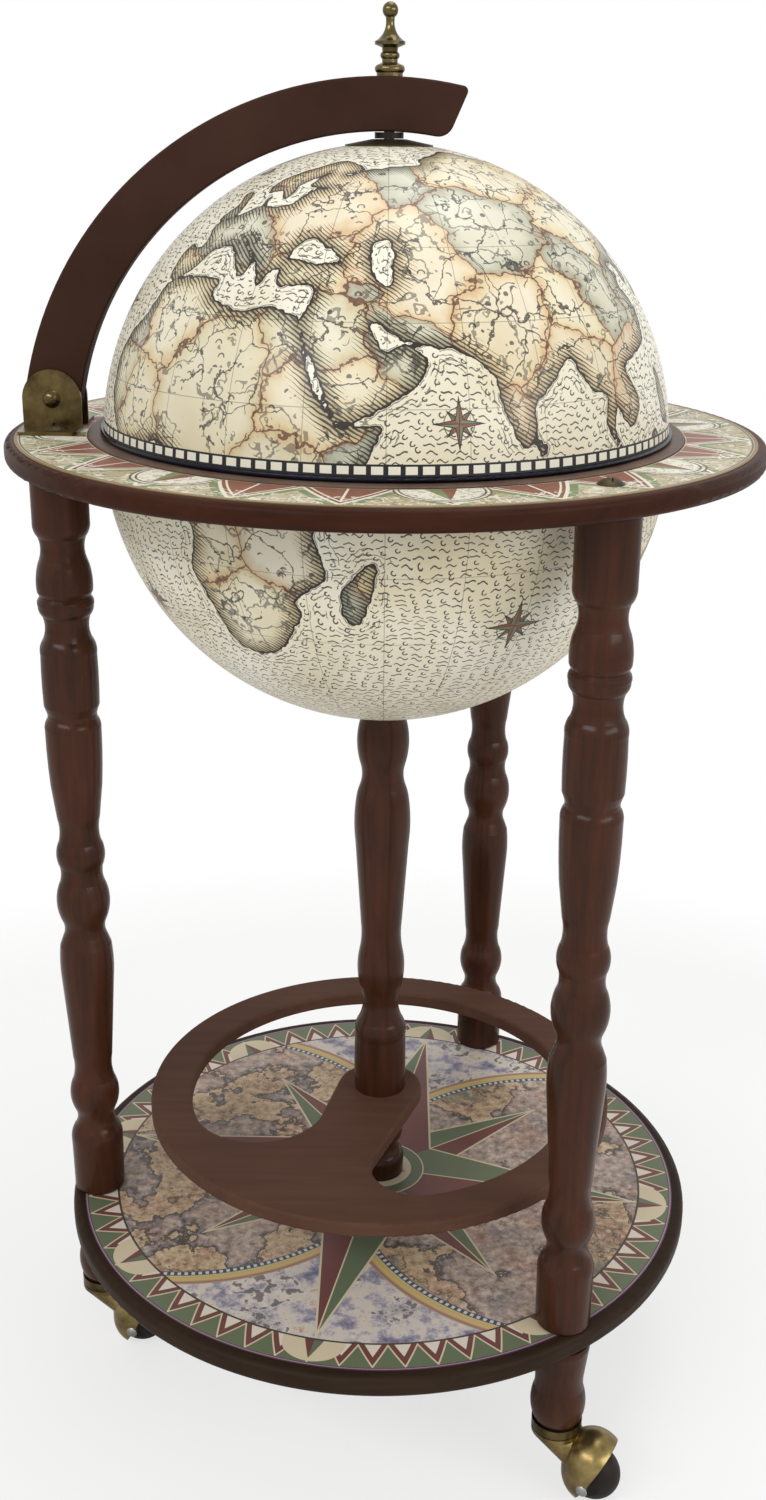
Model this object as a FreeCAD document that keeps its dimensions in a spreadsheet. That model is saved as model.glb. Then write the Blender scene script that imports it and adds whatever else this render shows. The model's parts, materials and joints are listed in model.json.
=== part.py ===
import FreeCAD, Part
import math
import os
from types import SimpleNamespace

import Sketcher
from FreeCAD import Placement, Rotation, Vector

# Floor globe bar: a globe that opens on an arm, set in a table ring on three
# turned legs, over a round base with a bottle rail and hooded casters.
# The origin is on the floor under the globe's axis, +Z is up, the arm's hinge
# is on the -X side and the front is the -Y side.

# Driving dimensions in millimetres, angles in degrees.
SIZES = {
    # clearances shared by mating pieces
    "seat_gap": 0.05,
    "running_gap": 0.06,
    "moving_gap": 0.3,
    "shell_gap": 0.3,
    "cut_overrun": 5.0,
    "paper_thick": 0.4,
    # table ring
    "ring_width": 55.5,
    "ring_thick": 12.0,
    "ring_edge_round": 4.0,
    "ring_bore_gap": 0.5,
    "ring_print_gap": 0.4,
    "ring_print_margin": 6.0,
    # globe
    "bowl_radius": 169.0,
    "bowl_wall": 3.0,
    "collar_inward": 7.0,
    "collar_outward": 8.0,
    "collar_thick": 1.5,
    "dome_inset": 1.0,
    "dome_wall": 3.0,
    "lip_inward": 5.0,
    "lip_outward": 1.5,
    "lip_height": 2.8,
    # drinks tray inside the bowl
    "tray_depth": 52.0,
    "tray_thick": 6.0,
    "tray_bottle_radius": 46.0,
    "tray_web": 27.0,
    "tray_rim": 24.2,
    "tray_glass_count": 6,
    # arm
    "arm_thick": 18.0,
    "arm_clearance": 13.0,
    "arm_width": 33.5,
    "arm_outer_drop": 17.5,
    "arm_inner_drop": 13.0,
    "arm_foot_gap": 1.63,
    "arm_shift": 3.0,
    "arm_tip_upper": 45.0,
    "arm_tip_lower": 33.0,
    "arm_tip_upper_round": 3.0,
    "arm_tip_lower_round": 9.0,
    "arm_edge_round": 1.5,
    # hinge
    "bracket_margin": 1.03,
    "bracket_thick": 2.0,
    "bracket_flange_depth": 25.0,
    "bracket_corner_round": 4.0,
    "hinge_pin_radius": 3.5,
    "hinge_head_radius": 5.2,
    "hinge_head_height": 2.6,
    # pole fittings
    "pole_rod_radius": 3.0,
    "pole_rod_in_finial": 11.0,
    "pole_cap_radius": 25.0,
    "pole_cap_thick": 2.0,
    "pole_cap_edge": 0.8,
    "pole_cap_boss": 9.7,
    "pole_bush_radius": 8.2,
    "pole_nut_flange_radius": 9.0,
    "pole_nut_flange_thick": 1.6,
    "pole_nut_radius": 6.0,
    "pole_nut_height": 5.0,
    "finial_height": 38.3,
    "finial_radius": 8.8,
    # legs
    "leg_clearance": 9.5,
    "leg_length": 511.0,
    "leg_radius": 17.5,
    "leg_screw_gap": 1.69,
    "leg_screw_radius": 3.0,
    "leg_screw_depth": 40.0,
    "leg_screw_head_radius": 7.5,
    "leg_screw_head_height": 3.4,
    "bracket_screw_depth": 9.0,
    "bracket_screw_head_radius": 5.0,
    "bracket_screw_head_height": 2.4,
    "screw_slot_width": 1.6,
    "screw_slot_depth": 1.4,
    "stud_radius": 4.0,
    "stud_in_leg": 32.0,
    "stud_in_foot": 24.0,
    # column and spindle
    "column_radius": 18.2,
    "column_rod_radius": 4.0,
    "column_rod_in_column": 40.0,
    "column_nut_height": 6.5,
    "column_nut_radius": 7.5,
    "column_washer_radius": 13.0,
    "column_washer_thick": 2.0,
    "bowl_bolt_radius": 4.0,
    "bowl_bolt_in_column": 42.0,
    "bowl_bolt_head_radius": 7.0,
    "bowl_bolt_head_height": 5.0,
    "bowl_washer_radius": 12.0,
    "bowl_washer_thick": 2.0,
    "spindle_radius": 17.6,
    # bottle rail
    "gallery_clearance": 20.5,
    "gallery_rail_width": 28.0,
    "gallery_thick": 10.5,
    "gallery_rise": 69.0,
    "gallery_left_angle": 198.0,
    "gallery_right_angle": 284.5,
    "gallery_edge_round": 2.2,
    # base
    "base_margin": 18.0,
    "base_thick": 14.0,
    "base_edge_round": 4.5,
    "base_print_margin": 8.0,
    # feet and casters
    "foot_length": 64.0,
    "foot_radius": 18.0,
    "foot_spigot_radius": 13.4,
    "caster_height": 48.0,
    "cup_side": 2.55,
    "cup_floor": 3.0,
    "cup_wall": 3.5,
    "stem_radius": 4.0,
    "stem_in_foot": 26.0,
    "stem_in_hood": 6.0,
    "hood_top_gap": 1.0,
    "hood_cup_gap": 0.59,
    "hood_wall": 1.4,
    "hood_collar_height": 3.0,
    "hood_neck_radius": 13.0,
    "hood_neck_back": 6.5,
    "hood_neck_drop": 3.0,
    "hood_floor_gap": 4.0,
    "hood_mouth_offset": 5.0,
    "hood_mouth_slope": 28.0,
    "wheel_radius": 18.0,
    "wheel_clearance": 0.6,
    "wheel_half_width": 12.5,
    "wheel_side_radius": 9.0,
    "axle_radius": 2.5,
    "axle_head_radius": 3.8,
    "axle_head_height": 1.6,
    "caster_angle_left": -13.0,
    "caster_angle_right": -27.0,
    "caster_angle_rear": -24.0,
}

# Turned outlines, from bottom to top: height share, radius share, and the
# bulge of the stretch up to the next point as a share of that stretch.
LEG_TURNING_SHARES = [
    (0.000, 0.891, 0.15), (0.007, 0.971, 0), (0.074, 1.000, 0.08), (0.094, 0.874, -0.14),
    (0.123, 0.794, 0.113), (0.168, 0.794, -0.06), (0.202, 0.754, 0), (0.323, 0.991, 0.024),
    (0.366, 0.960, 0), (0.378, 0.834, -0.11), (0.401, 0.811, 0.11), (0.456, 0.811, -0.06),
    (0.477, 0.794, 0.112), (0.511, 0.771, -0.06), (0.544, 0.783, 0), (0.587, 0.931, 0.01),
    (0.661, 1.006, 0.1), (0.676, 0.880, 0), (0.682, 0.880, 0), (0.693, 0.989, 0.01),
    (0.757, 0.994, 0.1), (0.777, 0.857, -0.095), (0.806, 0.840, 0.1), (0.818, 0.971, 0.1),
    (0.826, 0.966, 0), (0.830, 0.886, 0), (0.836, 0.971, 0.03), (0.855, 0.966, 0.04),
    (0.875, 0.823, -0.088), (0.902, 0.829, 0.1), (0.920, 0.989, 0), (1.000, 0.994, 0),
]
COLUMN_TURNING_SHARES = [
    (0.000, 0.951, 0.01), (0.147, 0.951, 0.1), (0.190, 0.835, -0.107), (0.286, 0.791, 0.054),
    (0.379, 0.802, -0.04), (0.451, 0.753, 0), (0.662, 0.967, 0.032), (0.773, 0.945, 0.03),
    (0.805, 0.819, -0.08), (0.859, 0.797, 0.07), (0.966, 0.819, 0), (0.991, 0.819, 0),
]
SPINDLE_TURNING_SHARES = [
    (0.000, 0.966, 0), (0.207, 0.994, 0.1), (0.310, 0.807, -0.1), (0.430, 0.761, 0.18),
    (0.706, 0.761, -0.1), (0.809, 0.807, 0.1), (0.895, 0.943, 0), (1.000, 0.943, 0),
]
FOOT_TURNING_SHARES = [
    (0.075, 0.835, 0.095), (0.44, 0.86, -0.03), (0.62, 0.865, 0.0), (0.92, 0.985, 0.1), (1.0, 0.955, 0.0),
]
FINIAL_TURNING_SHARES = [
    (0.0, 0.84, 0.0), (0.045, 0.84, 0.3), (0.155, 0.80, 0.0), (0.185, 0.50, 0.0), (0.23, 0.50, 0.28),
    (0.33, 0.49, 0.0), (0.385, 0.52, 0.0), (0.425, 0.97, 0.0), (0.47, 0.97, -0.16), (0.76, 0.28, 0.0),
    (0.80, 0.28, 0.0),
]
FINIAL_BALL_SHARE = 0.5
HOOD_CUT_SHARE = 4.0
CUP_LIP_SHARE = 0.25
EDGE_ROUND_SHARE = 0.43
GALLERY_SHARES = {"hub": 0.223, "left_round": 0.3385, "right_round": 0.2308}
# Places this near to each other count as one.
CLOSE = 1e-3


class Size:
    """A length or angle: its number, and the sheet expression that gives it."""

    def __init__(self, value, text):
        self.value = value
        self.text = text

    def __add__(self, other):
        return Size(self.value + other.value, f"({self.text} + {other.text})")

    def __sub__(self, other):
        return Size(self.value - other.value, f"({self.text} - {other.text})")

    def __mul__(self, other):
        other = other if isinstance(other, Size) else Size(other, f"({other:.9g})")
        return Size(self.value * other.value, f"({self.text} * {other.text})")

    def __truediv__(self, other):
        other = other if isinstance(other, Size) else Size(other, f"({other:.9g})")
        return Size(self.value / other.value, f"({self.text} / {other.text})")

    def __neg__(self):
        return self * -1.0


def hypotenuse(side, other_side):
    value = math.hypot(side.value, other_side.value)
    return Size(value, f"sqrt(({side.text})^2 + ({other_side.text})^2)")


def cathetus(longest, side):
    value = math.sqrt(longest.value**2 - side.value**2)
    return Size(value, f"sqrt(({longest.text})^2 - ({side.text})^2)")


def cap_radius(half_width, height):
    """Radius of the round that spans twice half_width and rises by height."""
    return (half_width * half_width + height * height) / (height * 2)


def cosine(angle):
    return Size(math.cos(math.radians(angle.value)), f"cos({angle.text})")


def sine(angle):
    return Size(math.sin(math.radians(angle.value)), f"sin({angle.text})")


NOTHING = Size(0.0, "0")
QUARTER_TURN = Size(90.0, "90")
HALF_TURN = Size(180.0, "180")

doc = FreeCAD.newDocument("floor_globe_bar")
sheet = doc.addObject("Spreadsheet::Sheet", "sizes")
for row, (alias, number) in enumerate(SIZES.items(), start=1):
    sheet.set(f"A{row}", alias)
    sheet.set(f"B{row}", str(number))
    sheet.setAlias(f"B{row}", alias)
doc.recompute()
size = SimpleNamespace(**{alias: Size(float(number), f"sizes.{alias}") for alias, number in SIZES.items()})
nodes = []

# Widths that follow from the globe, the legs and the casters' wheels.
ring_bore = size.bowl_radius + size.ring_bore_gap
ring_radius = ring_bore + size.ring_width
collar_outer = size.bowl_radius + size.collar_outward
dome_radius = size.bowl_radius - size.dome_inset
arm_inner_radius = dome_radius + size.arm_clearance
arm_outer_radius = arm_inner_radius + size.arm_width
leg_circle = size.bowl_radius + size.leg_clearance + size.leg_radius
gallery_radius = leg_circle - size.leg_radius - size.gallery_clearance
base_radius = leg_circle + size.base_margin
cup_radius = size.foot_spigot_radius + size.seat_gap + size.cup_side
hood_radius = size.wheel_radius + size.wheel_clearance + size.hood_wall
hood_drop = hood_radius + size.hood_top_gap
hood_trail = cup_radius + cathetus(hood_radius + size.hood_cup_gap, hood_drop - size.cup_floor)

# Levels above the floor, and places that several pieces share.
base_bottom = size.caster_height + size.foot_length
base_top = base_bottom + size.base_thick
print_top = base_top + size.paper_thick
gallery_top = base_top + size.gallery_rise
gallery_bottom = gallery_top - size.gallery_thick
ring_bottom = print_top + size.leg_length
ring_top = ring_bottom + size.ring_thick
globe_center = ring_bottom + size.ring_thick / 2
bowl_bottom = globe_center - size.bowl_radius
bowl_inside = size.bowl_radius - size.bowl_wall
dome_top = globe_center + dome_radius
lip_bottom = ring_top + size.collar_thick + size.moving_gap
lip_top = lip_bottom + size.lip_height
arm_crest = ring_top + arm_outer_radius - size.arm_outer_drop
# The arm's lower end is a round about the pin, tangent to both of its edges, just over the ring.
drop_step = size.arm_outer_drop - size.arm_inner_drop
drop_sum = size.arm_outer_drop + size.arm_inner_drop + size.arm_foot_gap * 2
arm_radius_sum = arm_outer_radius + arm_inner_radius
arm_end_radius = (size.arm_width * arm_radius_sum - drop_step * drop_sum) / ((arm_radius_sum + drop_step) * 2)
arm_middle_radius = arm_outer_radius - arm_end_radius
pivot_height = arm_end_radius + size.arm_foot_gap
pivot_z = ring_top + pivot_height
pivot_reach = cathetus(arm_middle_radius, pivot_height + size.arm_outer_drop)
pivot_x = -(pivot_reach + size.arm_shift)
bracket_face = size.arm_thick / 2 + size.moving_gap
bracket_back = bracket_face + size.bracket_thick
ring_print_top = ring_top + size.paper_thick
hood_center = size.caster_height - hood_drop
LEG_ANGLES = {"left": 0.0, "right": 120.0, "rear": 240.0}


def leg_place(side):
    """The left leg's screw goes through the front bracket; the others stand a third of a turn on."""
    ahead = bracket_back + size.leg_screw_head_radius + size.leg_screw_gap
    x = -cathetus(leg_circle, ahead)
    y = -ahead
    turn = Size(LEG_ANGLES[side], str(LEG_ANGLES[side]))
    return x * cosine(turn) - y * sine(turn), x * sine(turn) + y * cosine(turn)


def keep(piece, name):
    piece.Label = name
    nodes.append(piece)
    return piece


def place(piece, x=NOTHING, y=NOTHING, z=NOTHING, turn=NOTHING, axis=Vector(0, 0, 1)):
    piece.Placement = Placement(Vector(x.value, y.value, z.value), Rotation(axis, turn.value))
    for coordinate, length in zip("xyz", (x, y, z)):
        if length is not NOTHING:
            piece.setExpression(f"Placement.Base.{coordinate}", length.text)
    if turn is not NOTHING:
        piece.setExpression("Placement.Rotation.Angle", turn.text)
    return piece


def bind(piece, **lengths):
    for name, length in lengths.items():
        setattr(piece, name, length.value)
        piece.setExpression(name, length.text)
    return piece


def new_body(name):
    return doc.addObject("PartDesign::Body", name)


def new_sketch(body, role, name):
    sketch = body.newObject("Sketcher::SketchObject", name)
    plane = next(feature for feature in body.Origin.OriginFeatures if feature.Role == role)
    sketch.AttachmentSupport = [(plane, "")]
    sketch.MapMode = "FlatFace"
    return sketch


def fix_point(sketch, geometry, end, x, y, name):
    """Hold one point of the sketch at x, y from its origin."""
    for kind, axis, length, word in (("DistanceX", -2, x, "across"), ("DistanceY", -1, y, "up")):
        if length is NOTHING:
            sketch.addConstraint(Sketcher.Constraint("PointOnObject", geometry, end, axis))
            continue
        index = sketch.addConstraint(Sketcher.Constraint(kind, -1, 1, geometry, end, length.value))
        sketch.renameConstraint(index, f"{name}_{word}")
        sketch.setExpression(f"Constraints.{name}_{word}", length.text)


def fix_radius(sketch, geometry, radius, name):
    index = sketch.addConstraint(Sketcher.Constraint("Radius", geometry, radius.value))
    sketch.renameConstraint(index, name)
    sketch.setExpression(f"Constraints.{name}", radius.text)


def arc_through(start, end, radius, to_right):
    """A minor arc that bulges to the right or left of the way from start to end."""
    chord = end - start
    right = Vector(chord.y, -chord.x, 0).normalize()
    reach = math.sqrt(max(radius**2 - (chord.Length / 2) ** 2, 0.0))
    center = (start + end) * 0.5 - right * (reach if to_right else -reach)
    first, last = (start, end) if to_right else (end, start)
    first_angle = math.atan2(first.y - center.y, first.x - center.x)
    last_angle = math.atan2(last.y - center.y, last.x - center.x)
    if last_angle < first_angle:
        last_angle += 2 * math.pi
    return Part.ArcOfCircle(Part.Circle(center, Vector(0, 0, 1), radius), first_angle, last_angle)


def draw_outline(sketch, corners):
    """Draw a closed outline of (across, up, bend) corners, where a bend is None
    for a straight stretch to the next corner, or (radius, bulges to the right)."""
    ends = []
    for index, (x, y, bend) in enumerate(corners):
        next_x, next_y, _ = corners[(index + 1) % len(corners)]
        start = Vector(x.value, y.value, 0)
        end = Vector(next_x.value, next_y.value, 0)
        if bend is None:
            ends.append((sketch.addGeometry(Part.LineSegment(start, end)), 1, 2))
        else:
            radius, to_right = bend
            geometry = sketch.addGeometry(arc_through(start, end, radius.value, to_right))
            ends.append((geometry, 1, 2) if to_right else (geometry, 2, 1))
    for index, (geometry, _, last) in enumerate(ends):
        following, first, _ = ends[(index + 1) % len(ends)]
        sketch.addConstraint(Sketcher.Constraint("Coincident", geometry, last, following, first))
    for index, (x, y, bend) in enumerate(corners):
        geometry, first, _ = ends[index]
        fix_point(sketch, geometry, first, x, y, f"corner{index}")
        if bend is not None:
            fix_radius(sketch, geometry, bend[0], f"bend{index}")


def draw_circle(sketch, x, y, radius, name):
    center = Vector(x.value, y.value, 0)
    geometry = sketch.addGeometry(Part.Circle(center, Vector(0, 0, 1), radius.value))
    fix_point(sketch, geometry, 3, x, y, name)
    fix_radius(sketch, geometry, radius, f"{name}_radius")


def revolve(body, corners):
    sketch = new_sketch(body, "XZ_Plane", f"{body.Name}_section")
    draw_outline(sketch, corners)
    turning = body.newObject("PartDesign::Revolution", f"{body.Name}_turning")
    turning.Profile = sketch
    turning.ReferenceAxis = (sketch, ["V_Axis"])
    turning.Angle = 360.0
    doc.recompute()
    return turning


def pad(body, sketch, length, symmetric=False, reverse=False):
    feature = body.newObject("PartDesign::Pad", f"{sketch.Name}_pad")
    feature.Profile = sketch
    feature.SideType = "Symmetric" if symmetric else "One side"
    feature.Reversed = reverse
    bind(feature, Length=length)
    doc.recompute()
    return feature


def pocket_through(body, sketch):
    """Cut the sketch right through the body, and make sure that it cut."""
    volume_before = body.Shape.Volume
    feature = body.newObject("PartDesign::Pocket", f"{sketch.Name}_pocket")
    feature.Profile = sketch
    feature.SideType = "Symmetric"
    feature.Type = "ThroughAll"
    doc.recompute()
    if body.Shape.Volume >= volume_before:
        raise RuntimeError(f"{sketch.Name} cut nothing")
    return feature


def round_edges(body, base, radius, chosen):
    """Round the edges of the body's last feature for which chosen(edge) is true."""
    names = [f"Edge{number}" for number, edge in enumerate(base.Shape.Edges, start=1) if chosen(edge)]
    feature = body.newObject("PartDesign::Fillet", f"{base.Name}_round{len(body.Group)}")
    feature.Base = (base, names)
    bind(feature, Radius=radius)
    doc.recompute()
    return feature


def turned_corners(shares, length, radius, lift=NOTHING):
    """Corners of a turned outline from its table of shares."""
    points = []
    for height_share, radius_share, _ in shares:
        points.append((radius * radius_share, lift + length * height_share))
    corners = []
    for index, (x, y) in enumerate(points):
        bulge_share = shares[index][2]
        if index + 1 == len(points) or bulge_share == 0:
            corners.append((x, y, None))
            continue
        next_x, next_y = points[index + 1]
        chord = hypotenuse(next_x - x, next_y - y)
        depth_share = abs(bulge_share)
        bend_radius = chord * (1 / (8 * depth_share) + depth_share / 2)
        corners.append((x, y, (bend_radius, bulge_share > 0)))
    return corners


def turned_piece(name, shares, length, radius, lower_bore, lower_depth, upper_bore, upper_depth):
    """A turned wooden piece with a blind bore in each end."""
    outline = turned_corners(shares, length, radius)
    corners = [(lower_bore, NOTHING, None)] + outline
    corners += [
        (upper_bore, length, None),
        (upper_bore, length - upper_depth, None),
        (NOTHING, length - upper_depth, None),
        (NOTHING, lower_depth, None),
        (lower_bore, lower_depth, None),
    ]
    corners[1] = (corners[1][0], NOTHING, corners[1][2])
    body = new_body(name)
    revolve(body, corners)
    return keep(body, name)


def disc(name, outer, inner, bottom, thick, edge_round=None):
    """A flat ring, its outer edges rounded where a radius is given."""
    body = new_body(name)
    turning = revolve(
        body,
        [(inner, NOTHING, None), (outer, NOTHING, None), (outer, thick, None), (inner, thick, None)],
    )
    if edge_round is not None:
        limit = outer.value - CLOSE
        round_edges(body, turning, edge_round, lambda edge: edge.BoundBox.XMax > limit and edge.Closed)
    return place(keep(body, name), z=bottom)


def make_ring():
    body = new_body("horizon_ring")
    turning = revolve(
        body,
        [
            (ring_bore, NOTHING, None),
            (ring_radius, NOTHING, None),
            (ring_radius, size.ring_thick, None),
            (ring_bore, size.ring_thick, None),
        ],
    )
    limit = ring_radius.value - CLOSE
    round_edges(body, turning, size.ring_edge_round, lambda edge: edge.Closed and edge.BoundBox.XMax > limit)
    drill_leg_holes(body, size.leg_screw_radius + size.seat_gap, bracket_too=True)
    place(keep(body, "horizon_ring"), z=ring_bottom)


def drill_leg_holes(body, radius, bracket_too=False, center_radius=None):
    """Through holes over the legs, and where asked for the rear bracket's screw or the column's rod."""
    sketch = new_sketch(body, "XY_Plane", f"{body.Name}_holes")
    for side in LEG_ANGLES:
        x, y = leg_place(side)
        draw_circle(sketch, x, y, radius, f"{side}_hole")
    if bracket_too:
        draw_circle(sketch, pivot_x, bracket_screw_y(), radius, "bracket_hole")
    if center_radius is not None:
        draw_circle(sketch, NOTHING, NOTHING, center_radius, "center_hole")
    pocket_through(body, sketch)


def bracket_screw_y():
    return bracket_back + (size.bracket_flange_depth - size.bracket_thick) / 2


def make_prints():
    ring_body = new_body("ring_print")
    inner = collar_outer + size.ring_print_gap
    outer = ring_radius - size.ring_print_margin
    revolve(
        ring_body,
        [
            (inner, NOTHING, None),
            (outer, NOTHING, None),
            (outer, size.paper_thick, None),
            (inner, size.paper_thick, None),
        ],
    )
    drill_leg_holes(ring_body, size.leg_screw_radius + size.seat_gap, bracket_too=True)
    place(keep(ring_body, "ring_print"), z=ring_top)

    base_body = new_body("base_print")
    sketch = new_sketch(base_body, "XY_Plane", "base_print_outline")
    draw_circle(sketch, NOTHING, NOTHING, base_radius - size.base_print_margin, "edge")
    pad(base_body, sketch, size.paper_thick)
    rod_hole = size.column_rod_radius + size.seat_gap
    drill_leg_holes(base_body, size.stud_radius + size.seat_gap, center_radius=rod_hole)
    place(keep(base_body, "base_print"), z=base_top)


def make_base():
    body = new_body("base_disc")
    sketch = new_sketch(body, "XY_Plane", "base_outline")
    draw_circle(sketch, NOTHING, NOTHING, base_radius, "edge")
    board = pad(body, sketch, size.base_thick)
    round_edges(body, board, size.base_edge_round, lambda edge: edge.Closed)
    drill_leg_holes(
        body, size.stud_radius + size.seat_gap, center_radius=size.column_rod_radius + size.seat_gap
    )
    place(keep(body, "base_disc"), z=base_bottom)


def make_globe():
    """Bowl, collar, dome and the dome's lip."""
    bolt_hole = size.bowl_bolt_radius + size.seat_gap
    rim_rise = size.ring_thick / 2
    bowl = new_body("lower_bowl")
    revolve(
        bowl,
        [
            (bolt_hole, size.bowl_radius - cathetus(size.bowl_radius, bolt_hole), (size.bowl_radius, True)),
            (size.bowl_radius, size.bowl_radius, (size.bowl_radius, True)),
            (cathetus(size.bowl_radius, rim_rise), size.bowl_radius + rim_rise, None),
            (cathetus(bowl_inside, rim_rise), size.bowl_radius + rim_rise, (bowl_inside, False)),
            (bowl_inside, size.bowl_radius, (bowl_inside, False)),
            (bolt_hole, size.bowl_radius - cathetus(bowl_inside, bolt_hole), None),
        ],
    )
    place(keep(bowl, "lower_bowl"), z=bowl_bottom)

    disc(
        "bowl_collar", collar_outer, size.bowl_radius - size.collar_inward, ring_top, size.collar_thick,
        size.collar_thick * EDGE_ROUND_SHARE,
    )
    disc(
        "dome_lip", dome_radius + size.lip_outward, dome_radius - size.lip_inward, lip_bottom, size.lip_height,
        size.lip_height * EDGE_ROUND_SHARE,
    )

    rim = lip_top - globe_center
    inside = dome_radius - size.dome_wall
    pole_hole = size.pole_rod_radius + size.running_gap
    dome = new_body("upper_dome")
    revolve(
        dome,
        [
            (cathetus(inside, rim), rim, None),
            (cathetus(dome_radius, rim), rim, (dome_radius, True)),
            (pole_hole, cathetus(dome_radius, pole_hole), None),
            (pole_hole, cathetus(inside, pole_hole), (inside, False)),
        ],
    )
    place(keep(dome, "upper_dome"), z=globe_center)


def make_tray():
    bottom = size.ring_thick / 2 - size.tray_depth
    radius = cathetus(bowl_inside, bottom) - size.shell_gap
    glass_radius = (radius - size.tray_bottle_radius - size.tray_web - size.tray_rim) / 2
    glass_reach = size.tray_bottle_radius + size.tray_web + glass_radius
    body = new_body("bottle_tray")
    sketch = new_sketch(body, "XY_Plane", "tray_outline")
    draw_circle(sketch, NOTHING, NOTHING, radius, "edge")
    draw_circle(sketch, NOTHING, NOTHING, size.tray_bottle_radius, "bottle_hole")
    pad(body, sketch, size.tray_thick)
    hole = new_sketch(body, "XY_Plane", "tray_glass")
    draw_circle(hole, glass_reach, NOTHING, glass_radius, "glass_hole")
    cut = pocket_through(body, hole)
    pattern = body.newObject("PartDesign::PolarPattern", "tray_glass_pattern")
    pattern.Originals = [cut]
    pattern.Axis = (hole, ["N_Axis"])
    pattern.Angle = 360.0
    pattern.Occurrences = int(size.tray_glass_count.value)
    pattern.setExpression("Occurrences", size.tray_glass_count.text)
    body.Tip = pattern
    place(keep(body, "bottle_tray"), z=globe_center + bottom)


def make_legs():
    for side in LEG_ANGLES:
        leg = turned_piece(
            f"leg_{side}", LEG_TURNING_SHARES, size.leg_length, size.leg_radius,
            size.stud_radius + size.seat_gap, size.stud_in_leg,
            size.leg_screw_radius + size.seat_gap, size.leg_screw_depth,
        )
        x, y = leg_place(side)
        place(leg, x, y, print_top)


def make_screw(name, radius, depth, head_radius, head_height):
    """A screw with a low domed and slotted head; its seat is at the local zero."""
    body = new_body(name)
    dome = cap_radius(head_radius, head_height)
    revolve(
        body,
        [
            (NOTHING, -depth, None),
            (radius, -depth, None),
            (radius, NOTHING, None),
            (head_radius, NOTHING, (dome, True)),
            (NOTHING, head_height, None),
        ],
    )
    slot = new_sketch(body, "XZ_Plane", f"{name}_slot")
    side = size.screw_slot_width / 2
    bottom = head_height - size.screw_slot_depth
    top = head_height + size.cut_overrun
    draw_outline(slot, [(-side, bottom, None), (side, bottom, None), (side, top, None), (-side, top, None)])
    pocket_through(body, slot)
    return body


def group(name, pieces):
    compound = doc.addObject("Part::Compound", name)
    compound.Links = pieces
    return keep(compound, name)


def make_fasteners():
    screws = []
    studs = []
    for side in LEG_ANGLES:
        x, y = leg_place(side)
        seat = ring_print_top
        if side == "left":
            seat = seat + size.bracket_thick
        depth = seat - ring_bottom + size.leg_screw_depth - size.seat_gap
        screw = make_screw(
            f"leg_screw_{side}", size.leg_screw_radius, depth,
            size.leg_screw_head_radius, size.leg_screw_head_height,
        )
        screws.append(place(screw, x, y, seat))
        stud = doc.addObject("Part::Cylinder", f"leg_stud_{side}")
        length = size.stud_in_foot + size.base_thick + size.paper_thick + size.stud_in_leg - size.seat_gap * 2
        bind(stud, Radius=size.stud_radius, Height=length)
        studs.append(place(stud, x, y, base_bottom - size.stud_in_foot + size.seat_gap))
    group("leg_screws", screws)
    group("leg_studs", studs)

    rear_screw = make_screw(
        "bracket_screw", size.leg_screw_radius, size.bracket_screw_depth + size.bracket_thick,
        size.bracket_screw_head_radius, size.bracket_screw_head_height,
    )
    place(keep(rear_screw, "bracket_screw"), pivot_x, bracket_screw_y(), ring_print_top + size.bracket_thick)


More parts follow.
